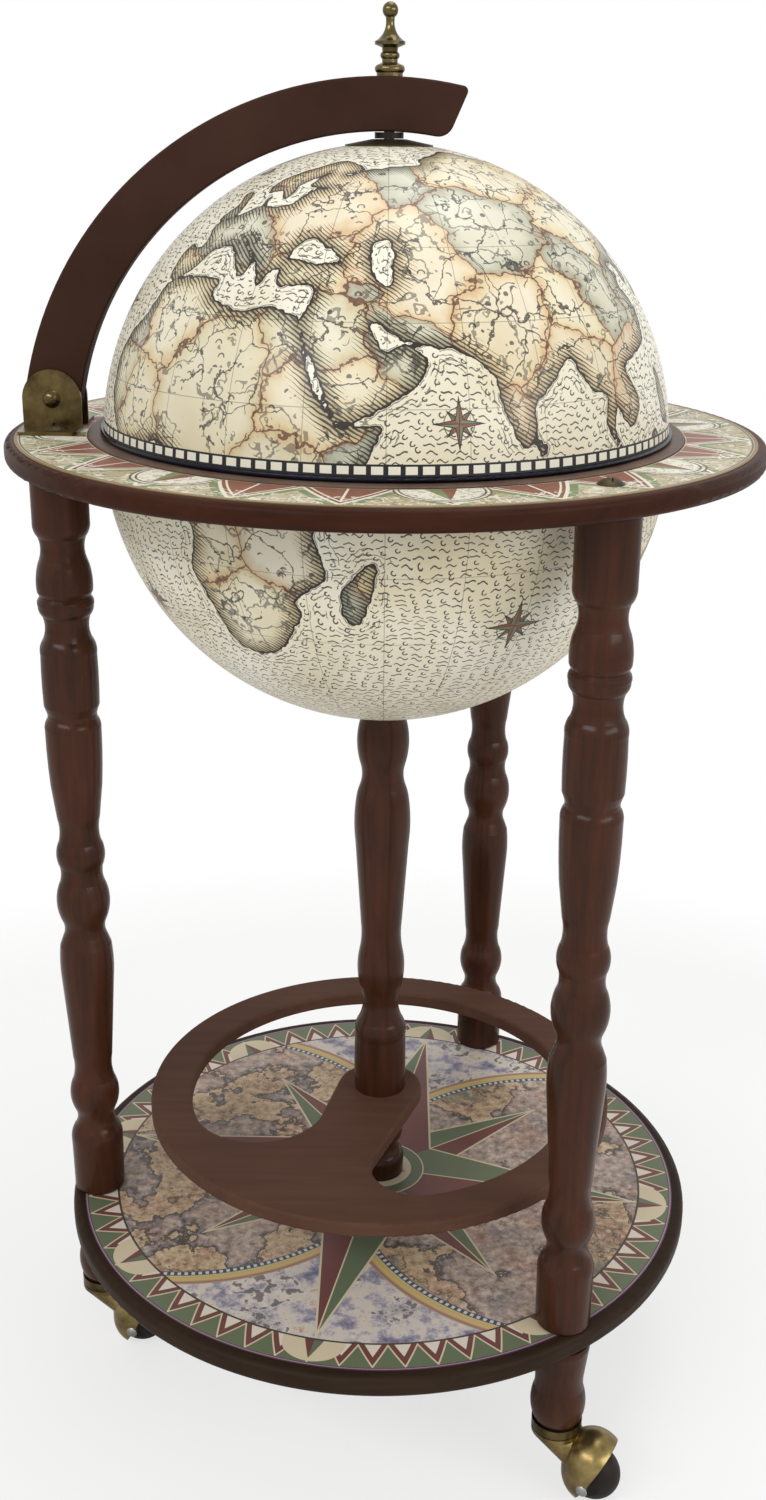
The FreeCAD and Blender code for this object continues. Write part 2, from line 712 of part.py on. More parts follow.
def make_column():
    """Spindle, column, and the rod, nut, bolt and washer that hold them."""
    rod_hole = size.column_rod_radius + size.seat_gap
    spindle_length = gallery_bottom - print_top
    spindle = new_body("lower_spindle")
    outline = turned_corners(SPINDLE_TURNING_SHARES, spindle_length, size.spindle_radius)
    outline[0] = (outline[0][0], NOTHING, outline[0][2])
    revolve(spindle, [(rod_hole, NOTHING, None)] + outline + [(rod_hole, spindle_length, None)])
    place(keep(spindle, "lower_spindle"), z=print_top)

    seat_radius = size.bowl_radius + size.shell_gap
    seat_center = globe_center - gallery_top
    length = bowl_bottom - gallery_top
    bolt_hole = size.bowl_bolt_radius + size.seat_gap
    outline = turned_corners(COLUMN_TURNING_SHARES, length, size.column_radius)
    outline[0] = (outline[0][0], NOTHING, outline[0][2])
    rim = outline[-1][0]
    column = new_body("center_column")
    corners = [(rod_hole, NOTHING, None)] + outline
    corners += [
        (rim, seat_center - cathetus(seat_radius, rim), (seat_radius, False)),
        (bolt_hole, seat_center - cathetus(seat_radius, bolt_hole), None),
        (bolt_hole, length - size.bowl_bolt_in_column, None),
        (NOTHING, length - size.bowl_bolt_in_column, None),
        (NOTHING, size.column_rod_in_column, None),
        (rod_hole, size.column_rod_in_column, None),
    ]
    revolve(column, corners)
    place(keep(column, "center_column"), z=gallery_top)

    rod = doc.addObject("Part::Cylinder", "column_rod")
    rod_bottom = base_bottom - size.column_washer_thick - size.column_nut_height
    bind(
        rod, Radius=size.column_rod_radius,
        Height=gallery_top + size.column_rod_in_column - size.seat_gap - rod_bottom,
    )
    place(keep(rod, "column_rod"), z=rod_bottom)
    flanged_nut(
        "column_nut", size.column_washer_radius, size.column_washer_thick,
        size.column_nut_radius, size.column_nut_height, rod_hole, base_bottom,
    )

    washer_lift = bowl_inside - cathetus(bowl_inside, size.bowl_washer_radius) + size.seat_gap
    washer_bottom = globe_center - bowl_inside + washer_lift
    disc("bowl_washer", size.bowl_washer_radius, bolt_hole, washer_bottom, size.bowl_washer_thick)
    bolt_top = washer_bottom + size.bowl_washer_thick
    bolt_depth = bolt_top - bowl_bottom + size.bowl_bolt_in_column - size.seat_gap
    bolt = new_body("bowl_bolt")
    revolve(
        bolt,
        [
            (NOTHING, -bolt_depth, None),
            (size.bowl_bolt_radius, -bolt_depth, None),
            (size.bowl_bolt_radius, NOTHING, None),
            (size.bowl_bolt_head_radius, NOTHING, None),
            (size.bowl_bolt_head_radius, size.bowl_bolt_head_height, None),
            (NOTHING, size.bowl_bolt_head_height, None),
        ],
    )
    place(keep(bolt, "bowl_bolt"), z=bolt_top)


def flanged_nut(name, flange_radius, flange_thick, nut_radius, nut_height, bore, top):
    """A hexagon nut under its round flange, hanging down from top."""
    flange = bind(doc.addObject("Part::Cylinder", f"{name}_flange"), Radius=flange_radius, Height=flange_thick)
    place(flange, z=-flange_thick)
    hexagon = bind(doc.addObject("Part::Prism", f"{name}_hexagon"), Circumradius=nut_radius, Height=nut_height)
    hexagon.Polygon = 6
    place(hexagon, z=-flange_thick - nut_height)
    joined = doc.addObject("Part::Fuse", f"{name}_joined")
    joined.Base = flange
    joined.Tool = hexagon
    hole_height = flange_thick + nut_height + size.cut_overrun * 2
    hole = bind(doc.addObject("Part::Cylinder", f"{name}_hole"), Radius=bore, Height=hole_height)
    place(hole, z=size.cut_overrun - hole_height)
    nut = doc.addObject("Part::Cut", name)
    nut.Base = joined
    nut.Tool = hole
    doc.recompute()
    return place(keep(nut, name), z=top)


def make_gallery():
    """Bottle rail: a ring whose one arm swirls in to a hub, cut as one opening
    of tangent arcs and lines."""
    bore = gallery_radius - size.gallery_rail_width
    hub_size, left_size, right_size = (bore * share for share in GALLERY_SHARES.values())
    left_reach = bore - left_size
    right_reach = bore - right_size
    left_angle = math.radians(size.gallery_left_angle.value)
    right_angle = math.radians(size.gallery_right_angle.value)
    hub = hub_size.value
    left_round = left_size.value
    right_round = right_size.value
    left_lean = math.acos((hub + left_round) / left_reach.value)
    right_lean = math.acos((hub + right_round) / right_reach.value)
    left_normal = left_angle - left_lean
    right_normal = right_angle + right_lean

    def polar(radius, angle, origin=Vector(0, 0, 0)):
        return origin + Vector(radius * math.cos(angle), radius * math.sin(angle), 0)

    def arc(center, radius, first, last):
        while last < first:
            last += 2 * math.pi
        while last - first > 2 * math.pi:
            last -= 2 * math.pi
        return Part.ArcOfCircle(Part.Circle(center, Vector(0, 0, 1), radius), first, last)

    middle = Vector(0, 0, 0)
    left_center = polar(left_reach.value, left_angle)
    right_center = polar(right_reach.value, right_angle)
    left_foot = polar(-left_round, left_normal, left_center)
    right_foot = polar(-right_round, right_normal, right_center)
    body = new_body("gallery_shelf")
    sketch = new_sketch(body, "XY_Plane", "gallery_outline")
    draw_circle(sketch, NOTHING, NOTHING, gallery_radius, "edge")
    draw_circle(sketch, NOTHING, NOTHING, size.column_rod_radius + size.seat_gap, "rod_hole")
    rail = sketch.addGeometry(arc(middle, bore.value, right_angle, left_angle))
    left = sketch.addGeometry(arc(left_center, left_round, left_angle, left_normal + math.pi))
    left_line = sketch.addGeometry(Part.LineSegment(left_foot, polar(hub, left_normal)))
    nave = sketch.addGeometry(arc(middle, hub, right_normal, left_normal))
    right_line = sketch.addGeometry(Part.LineSegment(polar(hub, right_normal), right_foot))
    right = sketch.addGeometry(arc(right_center, right_round, right_normal + math.pi, right_angle))
    fix_point(sketch, rail, 3, NOTHING, NOTHING, "rail_center")
    fix_point(sketch, nave, 3, NOTHING, NOTHING, "hub_center")
    fix_radius(sketch, rail, bore, "rail_bore")
    fix_radius(sketch, nave, hub_size, "hub_radius")
    fix_radius(sketch, left, left_size, "left_round")
    fix_radius(sketch, right, right_size, "right_round")
    joints = [
        (rail, 2, left, 1), (left, 2, left_line, 1), (left_line, 2, nave, 2),
        (nave, 1, right_line, 1), (right_line, 2, right, 1), (right, 2, rail, 1),
    ]
    for joint in joints:
        sketch.addConstraint(Sketcher.Constraint("Tangent", *joint))
    for geometry, reach, angle, name in (
        (left, left_reach, size.gallery_left_angle, "left_center"),
        (right, right_reach, size.gallery_right_angle, "right_center"),
    ):
        length = reach * sine(angle)
        index = sketch.addConstraint(Sketcher.Constraint("DistanceY", -1, 1, geometry, 3, length.value))
        sketch.renameConstraint(index, name)
        sketch.setExpression(f"Constraints.{name}", length.text)
    board = pad(body, sketch, size.gallery_thick)
    hole_limit = size.column_rod_radius.value * 2
    round_edges(
        body, board, size.gallery_edge_round,
        lambda edge: edge.BoundBox.ZLength < CLOSE and edge.BoundBox.DiagonalLength > hole_limit * 2,
    )
    place(keep(body, "gallery_shelf"), z=gallery_bottom)


def make_arm():
    """Half-round arm in the XZ plane, drawn from the table ring's top."""
    shift = -size.arm_shift
    outer_drop = -size.arm_outer_drop
    inner_drop = -size.arm_inner_drop
    outer_tip = outer_drop + cathetus(arm_outer_radius, size.arm_tip_upper + size.arm_shift)
    inner_tip = inner_drop + cathetus(arm_inner_radius, size.arm_tip_lower + size.arm_shift)

    def foot(edge_radius, middle_radius, drop):
        """Where an edge of the arm runs into its round end."""
        spread = edge_radius / middle_radius
        return shift - pivot_reach * spread, (pivot_height + drop) * spread - drop

    outer_foot = foot(arm_outer_radius, arm_middle_radius, size.arm_outer_drop)
    inner_foot = foot(arm_inner_radius, arm_inner_radius + arm_end_radius, size.arm_inner_drop)
    body = new_body("meridian_arm")
    sketch = new_sketch(body, "XZ_Plane", "arm_outline")
    draw_outline(
        sketch,
        [
            (*outer_foot, (arm_outer_radius, False)),
            (shift, outer_drop + arm_outer_radius, (arm_outer_radius, False)),
            (size.arm_tip_upper, outer_tip, None),
            (size.arm_tip_lower, inner_tip, (arm_inner_radius, True)),
            (shift, inner_drop + arm_inner_radius, (arm_inner_radius, True)),
            (*inner_foot, (arm_end_radius, False)),
            (pivot_x, size.arm_foot_gap, (arm_end_radius, False)),
        ],
    )
    board = pad(body, sketch, size.arm_thick, symmetric=True)

    def crosses(edge, x, z):
        box = edge.BoundBox
        near = abs(box.Center.x - x.value) < CLOSE and abs(box.Center.z - z.value) < CLOSE
        return near and box.YLength > size.arm_thick.value / 2

    upper = round_edges(
        body, board, size.arm_tip_upper_round, lambda edge: crosses(edge, size.arm_tip_upper, outer_tip)
    )
    lower = round_edges(
        body, upper, size.arm_tip_lower_round, lambda edge: crosses(edge, size.arm_tip_lower, inner_tip)
    )
    round_edges(body, lower, size.arm_edge_round, lambda edge: edge.BoundBox.YLength < CLOSE)
    pin_hole = new_sketch(body, "XZ_Plane", "arm_pin_hole")
    draw_circle(pin_hole, pivot_x, pivot_height, size.hinge_pin_radius + size.running_gap, "pin_hole")
    pocket_through(body, pin_hole)
    rod_hole = new_sketch(body, "XY_Plane", "arm_rod_hole")
    draw_circle(rod_hole, NOTHING, NOTHING, size.pole_rod_radius + size.seat_gap, "rod_hole")
    pocket_through(body, rod_hole)
    place(keep(body, "meridian_arm"), z=ring_top)


def make_bracket(name, turn, hole_x, hole_y):
    """Angle bracket, drawn about the pin's axis for the front (-Y) side; hole_x
    and hole_y give the flange's screw from the pin."""
    radius = arm_end_radius + size.bracket_margin
    rise = pivot_height - size.paper_thick
    body = new_body(name)
    plate = new_sketch(body, "XZ_Plane", f"{name}_plate")
    plate.AttachmentOffset = Placement(Vector(0, 0, bracket_face.value), Rotation())
    plate.setExpression("AttachmentOffset.Base.z", bracket_face.text)
    draw_outline(
        plate,
        [
            (-radius, NOTHING, None),
            (radius, NOTHING, None),
            (radius, rise, (radius, True)),
            (NOTHING, rise + radius, (radius, True)),
            (-radius, rise, None),
        ],
    )
    draw_circle(plate, NOTHING, rise, size.hinge_pin_radius + size.seat_gap, "pin_hole")
    pad(body, plate, size.bracket_thick)
    flange = new_sketch(body, "XY_Plane", f"{name}_flange")
    corner = size.bracket_corner_round
    front = bracket_face + size.bracket_flange_depth
    draw_outline(
        flange,
        [
            (-radius, -bracket_face, None),
            (-radius, corner - front, (corner, True)),
            (corner - radius, -front, None),
            (radius - corner, -front, (corner, True)),
            (radius, corner - front, None),
            (radius, -bracket_face, None),
        ],
    )
    draw_circle(flange, hole_x, hole_y, size.leg_screw_radius + size.seat_gap, "screw_hole")
    pad(body, flange, size.bracket_thick)
    return place(keep(body, name), pivot_x, z=ring_print_top, turn=turn)


def make_hinge():
    leg_x, leg_y = leg_place("left")
    make_bracket("hinge_bracket_front", NOTHING, leg_x - pivot_x, leg_y)
    make_bracket("hinge_bracket_rear", HALF_TURN, NOTHING, -bracket_screw_y())

    half = bracket_back + size.running_gap
    head = size.hinge_head_radius
    height = size.hinge_head_height
    dome = cap_radius(head, height)
    pin = new_body("hinge_pin")
    shank = size.hinge_pin_radius
    revolve(
        pin,
        [
            (NOTHING, -half - height, (dome, True)),
            (head, -half, None),
            (shank, -half, None),
            (shank, half, None),
            (head, half, (dome, True)),
            (NOTHING, half + height, None),
        ],
    )
    place(keep(pin, "hinge_pin"), pivot_x, z=pivot_z, turn=QUARTER_TURN, axis=Vector(1, 0, 0))


def make_pole():
    """Cap on the dome, bush, rod, nut and finial."""
    rod = size.pole_rod_radius
    cap_inside = dome_radius + size.seat_gap
    cap_edge = size.pole_cap_radius
    cap_rim = cathetus(cap_inside, cap_edge)
    cap_top = dome_radius + size.pole_cap_thick
    hole = rod + size.running_gap
    cap = new_body("pole_cap")
    revolve(
        cap,
        [
            (hole, cathetus(cap_inside, hole), (cap_inside, False)),
            (cap_edge, cap_rim, None),
            (cap_edge, cap_rim + size.pole_cap_edge, None),
            (size.pole_cap_boss, cap_top, None),
            (hole, cap_top, None),
        ],
    )
    place(keep(cap, "pole_cap"), z=globe_center)

    bush_bottom = dome_top + size.pole_cap_thick + size.moving_gap
    bush_reach = size.pole_bush_radius + size.arm_shift
    bush_top = ring_top - size.arm_inner_drop + cathetus(arm_inner_radius, bush_reach)
    disc("pole_bush", size.pole_bush_radius, rod + size.seat_gap, bush_bottom, bush_top - bush_bottom)

    flange_top = globe_center + cathetus(dome_radius - size.dome_wall, size.pole_nut_flange_radius)
    flange_top = flange_top - size.moving_gap
    nut_bottom = flange_top - size.pole_nut_flange_thick - size.pole_nut_height
    flanged_nut(
        "pivot_nut", size.pole_nut_flange_radius, size.pole_nut_flange_thick,
        size.pole_nut_radius, size.pole_nut_height, rod + size.seat_gap, flange_top,
    )
    bar = doc.addObject("Part::Cylinder", "pivot_rod")
    bind(bar, Radius=rod, Height=arm_crest + size.pole_rod_in_finial - size.seat_gap - nut_bottom)
    place(keep(bar, "pivot_rod"), z=nut_bottom)

    bore = rod + size.seat_gap
    height = size.finial_height
    outline = turned_corners(FINIAL_TURNING_SHARES, height, size.finial_radius)
    outline[0] = (outline[0][0], NOTHING, outline[0][2])
    neck_x, neck_y, _ = outline[-1]
    ball = size.finial_radius * FINIAL_BALL_SHARE
    outline[-1] = (neck_x, height - ball - cathetus(ball, neck_x), (ball, True))
    corners = [(bore, NOTHING, None)] + outline
    corners += [
        (ball, height - ball, (ball, True)),
        (NOTHING, height, None),
        (NOTHING, size.pole_rod_in_finial, None),
        (bore, size.pole_rod_in_finial, None),
    ]
    finial = new_body("finial")
    revolve(finial, corners)
    place(keep(finial, "finial"), z=arm_crest)


def make_feet():
    for side in LEG_ANGLES:
        outline = turned_corners(FOOT_TURNING_SHARES, size.foot_length, size.foot_radius)
        stem_hole = size.stem_radius + size.seat_gap
        stud_hole = size.stud_radius + size.seat_gap
        length = size.foot_length
        corners = [
            (stem_hole, NOTHING, None),
            (size.foot_spigot_radius, NOTHING, None),
            (size.foot_spigot_radius, size.cup_wall + size.seat_gap, None),
        ]
        corners += outline
        corners += [
            (stud_hole, length, None),
            (stud_hole, length - size.stud_in_foot, None),
            (NOTHING, length - size.stud_in_foot, None),
            (NOTHING, size.stem_in_foot, None),
            (stem_hole, size.stem_in_foot, None),
        ]
        foot = new_body(f"foot_{side}")
        revolve(foot, corners)
        x, y = leg_place(side)
        place(keep(foot, f"foot_{side}"), x, y, size.caster_height)


def make_wheel(name):
    bore = size.axle_radius + size.running_gap
    half = size.wheel_half_width
    side = size.wheel_side_radius
    tread = cap_radius(half, size.wheel_radius - side)
    body = new_body(name)
    revolve(
        body,
        [
            (bore, -half, None),
            (side, -half, (tread, True)),
            (size.wheel_radius, NOTHING, (tread, True)),
            (side, half, None),
            (bore, half, None),
        ],
    )
    return body


def make_caster(side):
    """A hooded caster, drawn with its hood trailing along +X of its stem."""
    x, y = leg_place(side)
    turn = getattr(size, f"caster_angle_{side}")
    stem_hole = size.stem_radius + size.seat_gap
    cup_bottom = size.caster_height - size.cup_floor
    recess = size.foot_spigot_radius + size.seat_gap
    cup = new_body(f"caster_cup_{side}")
    rise = size.cup_floor + size.cup_wall
    lip = size.cup_floor * CUP_LIP_SHARE
    revolve(
        cup,
        [
            (stem_hole, NOTHING, None),
            (cup_radius - lip, NOTHING, (lip, True)),
            (cup_radius, lip, None),
            (cup_radius, rise, None),
            (recess, rise, None),
            (recess, size.cup_floor, None),
            (stem_hole, size.cup_floor, None),
        ],
    )
    place(keep(cup, f"caster_cup_{side}"), x, y, cup_bottom)

    hub_top = cup_bottom - size.moving_gap
    stem = doc.addObject("Part::Cylinder", f"caster_stem_{side}")
    stem_bottom = hub_top - size.stem_in_hood + size.moving_gap
    bind(stem, Radius=size.stem_radius, Height=size.caster_height + size.stem_in_foot - size.seat_gap - stem_bottom)
    place(keep(stem, f"caster_stem_{side}"), x, y, stem_bottom)

    hood = make_hood(side, hub_top)
    place(keep(hood, f"caster_hood_{side}"), x, y, turn=turn)

    wheel_x = x + hood_trail * cosine(turn)
    wheel_y = y + hood_trail * sine(turn)
    across = Rotation(Vector(0, 0, 1), turn.value) * Rotation(Vector(1, 0, 0), 90)
    axle = make_axle(side)
    wheel = make_wheel(f"caster_wheel_{side}")
    for piece in (axle, wheel):
        piece.Placement = Placement(Vector(), across)
        piece.setExpression("Placement.Base.x", wheel_x.text)
        piece.setExpression("Placement.Base.y", wheel_y.text)
        piece.setExpression("Placement.Base.z", size.wheel_radius.text)
    keep(axle, f"caster_axle_{side}")
    keep(wheel, f"caster_wheel_{side}")


def make_axle(side):
    half = hood_radius + size.seat_gap
    head = size.axle_head_radius
    height = size.axle_head_height
    dome = cap_radius(head, height)
    body = new_body(f"caster_axle_{side}")
    shank = size.axle_radius
    revolve(
        body,
        [
            (NOTHING, -half - height, (dome, True)),
            (head, -half, None),
            (shank, -half, None),
            (shank, half, None),
            (head, half, (dome, True)),
            (NOTHING, half + height, None),
        ],
    )
    return body


def drawn_ball(name, radius):
    """A ball about the hood's center, drawn out downwards to the axle."""
    body = new_body(name)
    revolve(
        body,
        [
            (NOTHING, size.wheel_radius - radius, (radius, True)),
            (radius, size.wheel_radius, None),
            (radius, hood_center, (radius, True)),
            (NOTHING, hood_center + radius, None),
        ],
    )
    return place(body, hood_trail)


def make_hood(side, hub_top):
    """Brass hood: a ball shell on a slanting neck, open behind and below for the wheel."""
    collar_bottom = hub_top - size.hood_collar_height
    collar = bind(
        doc.addObject("Part::Cylinder", f"hood_collar_{side}"),
        Radius=cup_radius, Height=size.hood_collar_height,
    )
    place(collar, z=collar_bottom)
    neck_top = bind(doc.addObject("Part::Circle", f"hood_neck_top_{side}"), Radius=cup_radius)
    place(neck_top, z=collar_bottom)
    neck_end = bind(doc.addObject("Part::Circle", f"hood_neck_end_{side}"), Radius=size.hood_neck_radius)
    place(neck_end, hood_trail - size.hood_neck_back, z=hood_center - size.hood_neck_drop)
    neck = doc.addObject("Part::Loft", f"hood_neck_{side}")
    neck.Sections = [neck_end, neck_top]
    neck.Solid = True
    neck.Ruled = True
    outside = doc.addObject("Part::MultiFuse", f"hood_outside_{side}")
    outside.Shapes = [collar, neck, drawn_ball(f"hood_ball_{side}", hood_radius)]

    hollow = drawn_ball(f"hood_hollow_{side}", hood_radius - size.hood_wall)
    reach = hood_radius * HOOD_CUT_SHARE
    floor_cut = bind(doc.addObject("Part::Box", f"hood_floor_{side}"), Length=reach, Width=reach, Height=reach)
    place(floor_cut, hood_trail - reach / 2, -reach / 2, size.hood_floor_gap - reach)
    mouth = bind(doc.addObject("Part::Box", f"hood_mouth_{side}"), Length=reach, Width=reach, Height=reach)
    slope = size.hood_mouth_slope
    offset = size.hood_mouth_offset
    mouth_x = hood_trail + offset * cosine(slope) - reach / 2 * sine(slope)
    mouth_z = hood_center - offset * sine(slope) - reach / 2 * cosine(slope)
    place(mouth, mouth_x, -reach / 2, mouth_z, turn=slope, axis=Vector(0, 1, 0))
    stem_bore = bind(
        doc.addObject("Part::Cylinder", f"hood_stem_bore_{side}"),
        Radius=size.stem_radius + size.running_gap, Height=size.stem_in_hood + size.cut_overrun,
    )
    place(stem_bore, z=hub_top - size.stem_in_hood)
    axle_bore = bind(
        doc.addObject("Part::Cylinder", f"hood_axle_bore_{side}"),
        Radius=size.axle_radius + size.seat_gap, Height=reach,
    )
    place(axle_bore, hood_trail, reach / 2, size.wheel_radius, turn=QUARTER_TURN, axis=Vector(1, 0, 0))
    inside = doc.addObject("Part::MultiFuse", f"hood_inside_{side}")
    inside.Shapes = [hollow, floor_cut, mouth, stem_bore, axle_bore]
    hood = doc.addObject("Part::Cut", f"caster_hood_{side}")
    hood.Base = outside
    hood.Tool = inside
    doc.recompute()
    return hood


make_ring()
make_prints()
make_base()
make_globe()
make_tray()
make_legs()
make_fasteners()
make_column()
make_gallery()
make_arm()
make_hinge()
make_pole()
make_feet()
for side_name in LEG_ANGLES:
    make_caster(side_name)

doc.recompute()
for item in doc.Objects:
    if "Invalid" in item.State or "Error" in item.State:
        raise RuntimeError(f"{item.Label} failed: {item.State}")
for node in nodes:
    if node.Shape.isNull() or not node.Shape.isValid() or node.Shape.Volume <= 0:
        raise RuntimeError(f"{node.Label} has no valid shape")

os.makedirs("parts", exist_ok=True)
for node in nodes:
    node.Shape.exportStep(f"parts/{node.Label}.step")
print(len(nodes), "nodes written")
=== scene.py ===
import json
import math

import bmesh
import bpy
import numpy as np
from mathutils import Matrix, Vector
from mathutils.kdtree import KDTree


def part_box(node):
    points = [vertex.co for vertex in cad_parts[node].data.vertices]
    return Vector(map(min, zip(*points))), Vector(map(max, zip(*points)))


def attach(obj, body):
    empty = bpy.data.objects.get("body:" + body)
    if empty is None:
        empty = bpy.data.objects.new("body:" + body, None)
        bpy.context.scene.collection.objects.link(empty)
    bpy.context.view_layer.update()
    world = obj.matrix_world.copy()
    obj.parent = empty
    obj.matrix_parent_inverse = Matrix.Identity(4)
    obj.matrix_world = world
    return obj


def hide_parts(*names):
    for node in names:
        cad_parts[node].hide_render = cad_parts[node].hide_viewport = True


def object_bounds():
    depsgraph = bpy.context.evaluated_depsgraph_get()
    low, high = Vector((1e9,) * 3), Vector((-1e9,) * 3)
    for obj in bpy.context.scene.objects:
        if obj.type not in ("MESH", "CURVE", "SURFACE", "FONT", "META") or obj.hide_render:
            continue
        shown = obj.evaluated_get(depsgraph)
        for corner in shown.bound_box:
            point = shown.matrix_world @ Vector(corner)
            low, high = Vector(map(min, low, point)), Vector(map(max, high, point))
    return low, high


# Floor globe bar: the printed globe, table ring and base, turned mahogany legs,
# and antique brass fittings. Lengths are in metres unless a name says mm.

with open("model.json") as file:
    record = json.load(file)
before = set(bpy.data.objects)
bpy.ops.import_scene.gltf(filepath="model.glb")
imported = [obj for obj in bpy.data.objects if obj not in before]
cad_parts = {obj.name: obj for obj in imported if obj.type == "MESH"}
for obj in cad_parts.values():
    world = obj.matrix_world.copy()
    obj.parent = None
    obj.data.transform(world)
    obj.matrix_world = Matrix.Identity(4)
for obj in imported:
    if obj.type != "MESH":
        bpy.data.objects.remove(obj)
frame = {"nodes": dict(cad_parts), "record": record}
cad_low, cad_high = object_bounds()
nodes = frame["nodes"]
MM = 0.001

# Places taken from the model.
bowl_low, bowl_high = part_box("lower_bowl")
dome_low, dome_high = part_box("upper_dome")
BOWL_RADIUS = bowl_high.x
GLOBE_HEIGHT = bowl_low.z + BOWL_RADIUS
DOME_RIM = dome_low.z - GLOBE_HEIGHT
DOME_RADIUS = math.hypot(dome_high.x, DOME_RIM)
BOWL_RIM = bowl_high.z - GLOBE_HEIGHT
RING_PRINT_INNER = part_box("bowl_collar")[1].x
RING_PRINT_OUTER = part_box("ring_print")[1].x
BASE_PRINT_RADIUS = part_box("base_print")[1].x

# Globe shells and their map.
SHELL_WALL = 3 * MM
DOME_POLE_HOLE = 3.06 * MM
BOWL_BOLT_HOLE = 4.05 * MM
MAP_STEP = math.radians(1)
LINING_STEP = math.radians(3)
SHARP_EDGE = math.radians(35)
FRONT_LONGITUDE = 52.0
WEST_LONGITUDE = -169
COAST_STEP = 0.5

# Coasts as longitude and latitude in degrees, eastward from WEST_LONGITUDE, in order round each land.
COASTS = {
    "africa": [
        (-6, 35.5), (10, 37), (11, 33.5), (20, 31), (25, 32), (32, 31), (35, 27), (37, 21), (43, 12),
        (51, 12), (47, 4), (41, -2), (39, -7), (41, -15), (35, -20), (35, -24), (32, -29), (27, -34),
        (18, -34), (14, -22), (12, -17), (14, -9), (9, -1), (9, 4), (4, 6), (-8, 4), (-15, 10), (-17, 15),
        (-17, 21), (-10, 29),
    ],
    "europe and asia": [
        (-9, 37), (-9, 43), (-2, 43.5), (-4.5, 48.5), (2, 51), (8, 54), (9, 57), (11, 54), (20, 55),
        (24, 59), (30, 60), (22, 61), (25, 65.5), (17, 61), (16, 56.5), (11, 59), (6, 58), (5, 62),
        (14, 67), (27, 71), (40, 67.5), (34, 65), (44, 67), (55, 68.5), (68, 69), (73, 72.5), (100, 77),
        (113, 74), (130, 71), (150, 72), (170, 70), (190, 66), (179, 62.5), (163, 58), (157, 51),
        (157, 58), (162, 62), (143, 59.5), (136, 54.5), (141, 51), (135, 43.5), (129, 41), (129, 36),
        (126, 35), (124, 39.5), (119, 39), (122, 37), (119, 35), (122, 30), (118, 24), (109, 21),
        (106, 19), (109, 13), (105, 9), (101, 13), (100, 8), (104, 1.5), (98, 9), (98, 15), (94, 17),
        (90, 22.5), (86, 20), (80, 15), (80, 11), (77.5, 8), (74, 14), (72.5, 20), (66, 25), (57, 26.5),
        (49, 30), (51, 25), (56, 26), (59.5, 22.5), (55, 17.5), (44, 12.8), (39, 21), (34.5, 29),
        (36, 36.5), (28, 36.5), (26, 40), (23, 38), (22, 36.5), (19.5, 41), (13, 45.5), (18, 40.5),
        (16, 38), (11, 43), (8.5, 44.2), (3, 42.5), (0, 39), (-5.5, 36),
    ],
    "north america": [
        (-168, 66), (-156, 71), (-128, 70), (-95, 68), (-94, 59), (-80, 51.5), (-77, 58), (-78, 62),
        (-65, 59), (-56, 52), (-66, 49), (-60, 46.5), (-70, 43), (-76, 36), (-81, 31), (-80, 25.5),
        (-84, 30), (-97, 28), (-97, 20.5), (-91, 18.5), (-87, 21), (-88.5, 16), (-83.5, 14), (-79, 9.5),
        (-83, 8.5), (-95, 16), (-105, 20), (-114, 31), (-110, 23.5), (-117, 32.5), (-124, 40), (-124, 48),
        (-140, 60), (-150, 61), (-163, 55), (-158, 59), (-166, 62),
    ],
    "south america": [
        (-77, 8), (-72, 12), (-62, 10.5), (-50, 2), (-35, -6), (-39, -16), (-48, -26), (-58, -38.5),
        (-65, -42), (-68, -54), (-74, -52), (-73, -40), (-70, -19), (-76, -14), (-81, -5), (-77.5, 4),
    ],
    "australia": [
        (114, -22), (122, -18), (131, -12), (136, -12.5), (140, -17.5), (142.5, -11), (146, -19),
        (153, -27), (150, -37.5), (140, -38), (131, -31.5), (124, -33.5), (115, -34.5),
    ],
    "greenland": [
        (-45, 60), (-54, 68), (-68, 76), (-60, 82), (-32, 83.5), (-20, 78), (-22, 70.5), (-38, 65.5),
    ],
    "madagascar": [(49.5, -12), (50, -16), (47, -25), (44, -23), (44.5, -17)],
    "britain": [(-5, 50), (1, 51.5), (-2, 57.5), (-6, 57.5), (-3, 54)],
    "japan": [(130, 31.5), (140.5, 36), (145, 44), (141, 45), (139, 38), (131, 34)],
    "borneo": [(109, 1.5), (116, 7), (118.5, 1), (116, -4), (110, -3)],
    "sumatra": [(95.5, 5.5), (106, -3), (104, -5.5), (98, 0)],
    "new guinea": [(131, -1), (138, -2), (150, -10.5), (138, -8)],
    "philippines": [(120.5, 18.5), (124, 12.5), (126, 7), (121, 9)],
    "ceylon": [(80, 9.5), (82, 7), (80.5, 6)],
    "new zealand": [(173, -35), (178, -38), (168, -47), (172, -41)],
    "iceland": [(-22, 63.5), (-14, 65), (-20, 66.5)],
    "cuba": [(-84.5, 22), (-74.5, 20), (-79.5, 23.5)],
    "black sea": [(28, 42), (41, 41.5), (36, 45.5), (31, 46.5)],
    "caspian sea": [(48, 45), (53, 46.5), (53, 37.5), (49.5, 38.5)],
}

# Printed compass roses on the sea: longitude, latitude and reach in millimetres.
ROSES = [
    (65.0, 12.5, 13.0), (80.0, -27.0, 17.0), (-28.0, 30.0, 15.0), (-125.0, 22.0, 18.0), (-10.0, -28.0, 15.0),
]

# Turns, in degrees, of the base's star and medallions and of the ring's ornaments.
STAR_TURN = 78.0
MEDALLION_TURN = 33.0
RING_ORNAMENT_TURN = 279.0

